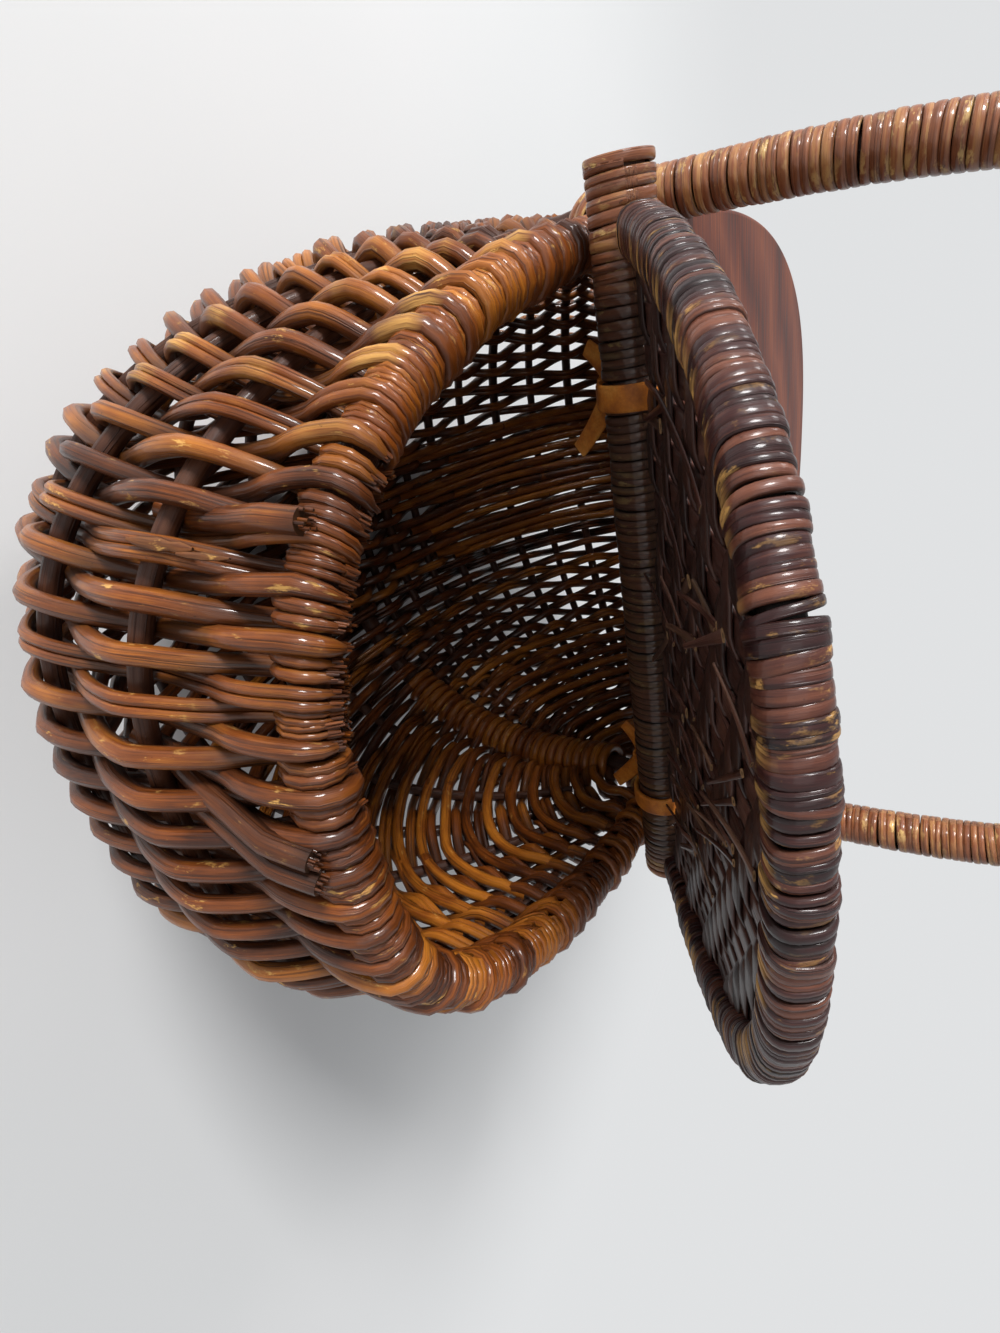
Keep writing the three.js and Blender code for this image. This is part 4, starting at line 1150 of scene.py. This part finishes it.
def build_lid_panel():
    """The lid's flat splits, plaited in steps over two and under two, with some ends sprung loose."""
    rods = Rods()
    random = rng(700)
    far = HINGE_OFFSET - LID_REACH + LID_BAND_WIDTH / 2 - PANEL_TUCK
    for j, y in enumerate(np.arange(-HINGE_SEAT - SPLIT_PITCH / 2, far, -SPLIT_PITCH)):
        half = float(lid_half_width(y - SPLIT_PITCH / 4)) + PANEL_TUCK
        if half < 10:
            continue
        width = SPLIT_PITCH / 2 * random.uniform(1.05, 1.22)
        tone, grime = random.random(), random.uniform(0, 0.3)
        path = split_row(y, half, j)
        at_tie = by_tie(path[:, 0], TIE_ROOM) if j == 0 else []
        for run in runs_between(np.flatnonzero(at_tie), len(path)):
            # Painted shade on the splits' underside, the lid's inner face
            rods.add(lid_place(path[run]), LID_UP, width, SPLIT_HALF_HEIGHT, sides=10, squareness=0.45,
                     tone=tone, worn=0.8, groove=0.5, grime=grime)
    edge = int((LID_HALF_WIDTH - LID_BAND_WIDTH / 2) / WARP_SPACING)
    for i in range(-edge, edge + 1):
        is_stake = i % 3 == 0 and abs(i) <= 3 * STAKES_PER_SIDE
        warp = Rods() if is_stake else rods
        path = lid_place(warp_run(i * WARP_SPACING, far))
        warp.add(path, LID_UP, *WARP_HALF_SIZES, sides=10, squareness=0.5, tone=random.random(), worn=0.6,
                 grime=0.25)
        if is_stake:
            number = i // 3 + STAKES_PER_SIDE + 1
            warp.make(f"lid_warp_{number}", LID_SPLIT, "lid", "frame_rod", [f"lid_stake_{number}"])
    for _ in range(LOOSE_SPLITS):
        add_loose_split(rods, far, random)
    rods.make("lid_splits", LID_SPLIT, "lid", "lid_split", ["lid_weave"])


# Leather ties

def strap_path():
    """Middle line of a tie round the hinge rod and through the deck, in Y and Z about the hinge."""
    radius = HINGE_SEAT + TIE_THICKNESS / 2
    off_deck = TIE_CLEARANCE + TIE_THICKNESS / 2
    slot_side = SLOT_Y + HINGE_OFFSET + TIE_THICKNESS / 2
    top = DECK_TOP + off_deck - HINGE[2]
    bottom = DECK_BOTTOM - off_deck - HINGE[2]
    low_corner = DECK_FRONT + HINGE_OFFSET - off_deck

    def tangent(y, z, sign):
        return math.atan2(z, y) + sign * math.acos(min(radius / math.hypot(y, z), 1))

    start = tangent(slot_side, top, 1)
    end = 2 * math.pi + tangent(low_corner, bottom, -1)
    angle = np.linspace(start, end, 40)
    arc = np.stack([radius * np.cos(angle), radius * np.sin(angle)], -1)
    corners = np.array([[low_corner, bottom], [slot_side, bottom], [slot_side, top]])
    return np.concatenate([arc, corners])


def build_tie(side, x, seed):
    """A flat thong looped round the hinge rod, with its knot and two tails under the deck."""
    flat = strap_path()
    loop = np.stack([np.full(len(flat), x), flat[:, 0], flat[:, 1]], -1) + HINGE
    loop = resample(0.9, looped(loop))[0][:-1]
    for _ in range(2):
        loop = (np.roll(loop, 1, axis=0) + 2 * loop + np.roll(loop, -1, axis=0)) / 4
    outward = np.cross(ALONG_X, unit(np.roll(loop, -1, axis=0) - np.roll(loop, 1, axis=0)))
    outward *= np.sign(np.sum(outward * (loop - loop.mean(axis=0)), -1, keepdims=True))
    rods = Rods()
    rods.add(loop, outward, TIE_WIDTH / 2, TIE_THICKNESS / 2, sides=14, squareness=0.5, closed=True)
    knot = np.array([x, SLOT_Y, KNOT_Z])
    turn = np.linspace(0, 2 * math.pi, 40, endpoint=False)[:, None]
    for lean, size in ((math.radians(25), 3.6), (math.radians(-35), 3.9)):
        sway = np.array([math.cos(lean), 0, math.sin(lean)]) * 1.2
        ring = ALONG_Y * np.cos(turn) * size + UP * np.sin(turn) * size * 0.92 + sway * np.sin(2 * turn)
        rods.add(knot + ring, ring, 2.9, 0.75, sides=12, squareness=0.6, closed=True)
    random = rng(seed)
    for direction, length in (((0.86, 0.1, -0.5), 24.0), ((-0.75, 0.25, -0.62), 13.0)):
        reach = np.linspace(0, 1, 24)[:, None]
        droop = UP * (-4.0 * reach ** 2) + ALONG_Y * (2.0 * np.sin(2.4 * reach) * random.uniform(0.6, 1.2))
        tail = knot + np.array(direction) * length * reach + droop * length / 24
        twist = np.radians(40 * reach * random.uniform(0.5, 1.0))
        face = ALONG_Y * np.cos(twist) + UP * np.sin(twist)
        width = TIE_WIDTH / 2 * np.interp(reach[:, 0], [0, 0.25, 1], [0.62, 1.0, 0.82])
        rods.add(tail, face, width, TIE_THICKNESS / 2, sides=12, squareness=0.5)
    rods.make(f"thong_{side}", LEATHER, "basket", "tie_leather", [f"lid_tie_{side}"])


# Stage, light and camera, in metres but for the lens and the sensor in millimetres

PALE = (0.75, 0.76, 0.77)
FLOOR_HALF_SIZE = 12.0
FLOOR_SHADES = [(0.3, (0.7, 0.71, 0.71)), (0.7, (0.74, 0.74, 0.74))]
FLOOR_FADE = (0.25, 0.85)
WORLD_SHADES = [(0.0, (0.46, 0.47, 0.48)), (1.0, (0.17, 0.17, 0.18))]
# Name, place, size and power of each lamp
LAMPS = (("key", (-4.7, -0.8, 2.2), 1.25, 370.0), ("fill", (-0.6, -2.9, 2.0), 2.4, 18.0),
         ("edge", (-0.75, 0.45, 0.75), 0.25, 3.0))
LAMP_AIM = Vector((0.0, -0.05, 0.12))
CAMERA_PLACE = (-0.0992, -0.2333, 0.2756)
CAMERA_RIGHT = Vector((0.1676, 0.5297, 0.8315))
CAMERA_FORWARD = Vector((0.4824, 0.6915, -0.5378))
CAMERA_LENS = 18.905
CAMERA_SENSOR = 36.0


def seen_rays(nodes):
    """1 for rays that show the background itself: from the camera, off gloss or through glass."""
    path = nodes.add("LightPath")
    seen = path.outputs["Is Camera Ray"]
    for name in ("Is Glossy Ray", "Is Transmission Ray"):
        seen = nodes.math("MAXIMUM", seen, path.outputs[name])
    return seen


def build_floor():
    """A pale floor that takes shadows near the basket and fades into the background away from it."""
    size = FLOOR_HALF_SIZE
    mesh = bpy.data.meshes.new("floor")
    corners = [(-size, -size, 0), (size, -size, 0), (size, size, 0), (-size, size, 0)]
    mesh.from_pydata(corners, [], [(0, 1, 2, 3)])
    floor = bpy.data.objects.new("floor", mesh)
    bpy.context.scene.collection.objects.link(floor)
    shader = Shader("floor")
    spot = shader.add("TexCoord").outputs["Object"]
    shader.set(Base_Color=shader.ramp(shader.noise(spot, 2.0, scale=3.0), FLOOR_SHADES), Roughness=0.6)
    distance = shader.add("VectorMath", {"Vector": spot}, operation="LENGTH").outputs["Value"]
    away = shader.times(shader.step(distance, *FLOOR_FADE), seen_rays(shader))
    glow = shader.add("Emission", {"Color": rgba(PALE), "Strength": 1.0}).outputs["Emission"]
    joined = shader.add("MixShader", {0: away, 1: shader.surface.outputs["BSDF"], 2: glow})
    shader.feed(shader.tree.nodes["Material Output"].inputs["Surface"], joined.outputs["Shader"])
    mesh.materials.append(shader.material)


def build_light():
    world = bpy.data.worlds.new("studio")
    bpy.context.scene.world = world
    world.use_nodes = True
    nodes = Nodes(world.node_tree)
    x = nodes.split(nodes.add("TexCoord").outputs["Generated"])[0]
    share = nodes.add("MapRange", {"Value": x, "From Min": -1.0}).outputs["Result"]
    colour = nodes.mix(seen_rays(nodes), nodes.ramp(share, WORLD_SHADES), rgba(PALE))
    background = nodes.tree.nodes["Background"]
    nodes.feed(background.inputs["Color"], colour)
    nodes.feed(background.inputs["Strength"], 1.0)
    for name, lamp_place, size, power in LAMPS:
        data = bpy.data.lights.new(name, "AREA")
        data.size = size
        data.energy = power
        lamp = bpy.data.objects.new(name, data)
        lamp.location = lamp_place
        lamp.rotation_euler = (LAMP_AIM - lamp.location).to_track_quat("-Z", "Y").to_euler()
        bpy.context.scene.collection.objects.link(lamp)


def build_camera():
    """The photo's camera: it lies on its side, so the basket's height runs across the image."""
    data = bpy.data.cameras.new("camera")
    data.sensor_width = CAMERA_SENSOR
    data.lens = CAMERA_LENS
    data.clip_start = 0.01
    camera = bpy.data.objects.new("camera", data)
    forward = CAMERA_FORWARD.normalized()
    up = CAMERA_RIGHT.cross(forward).normalized()
    turn = Matrix((forward.cross(up), up, -forward)).transposed().to_4x4()
    camera.matrix_world = Matrix.Translation(CAMERA_PLACE) @ turn
    bpy.context.scene.collection.objects.link(camera)
    bpy.context.scene.camera = camera


bpy.context.scene.view_settings.view_transform = "Standard"
build_camera()
build_floor()
build_light()
build_weave()
build_ribs()
build_rim()
build_handle()
build_handle_binding()
build_lashing("right", 1)
build_lashing("left", -1)
build_deck()
build_lid_band()
build_hinge()
build_lid_panel()
build_tie("left", TIE_PLACES[0], 801)
build_tie("right", TIE_PLACES[1], 802)

# CAD nodes that keep their shape
for nail in ("deck_nail_left", "deck_nail_right"):
    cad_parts[nail].data.materials.clear()
    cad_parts[nail].data.materials.append(STEEL)
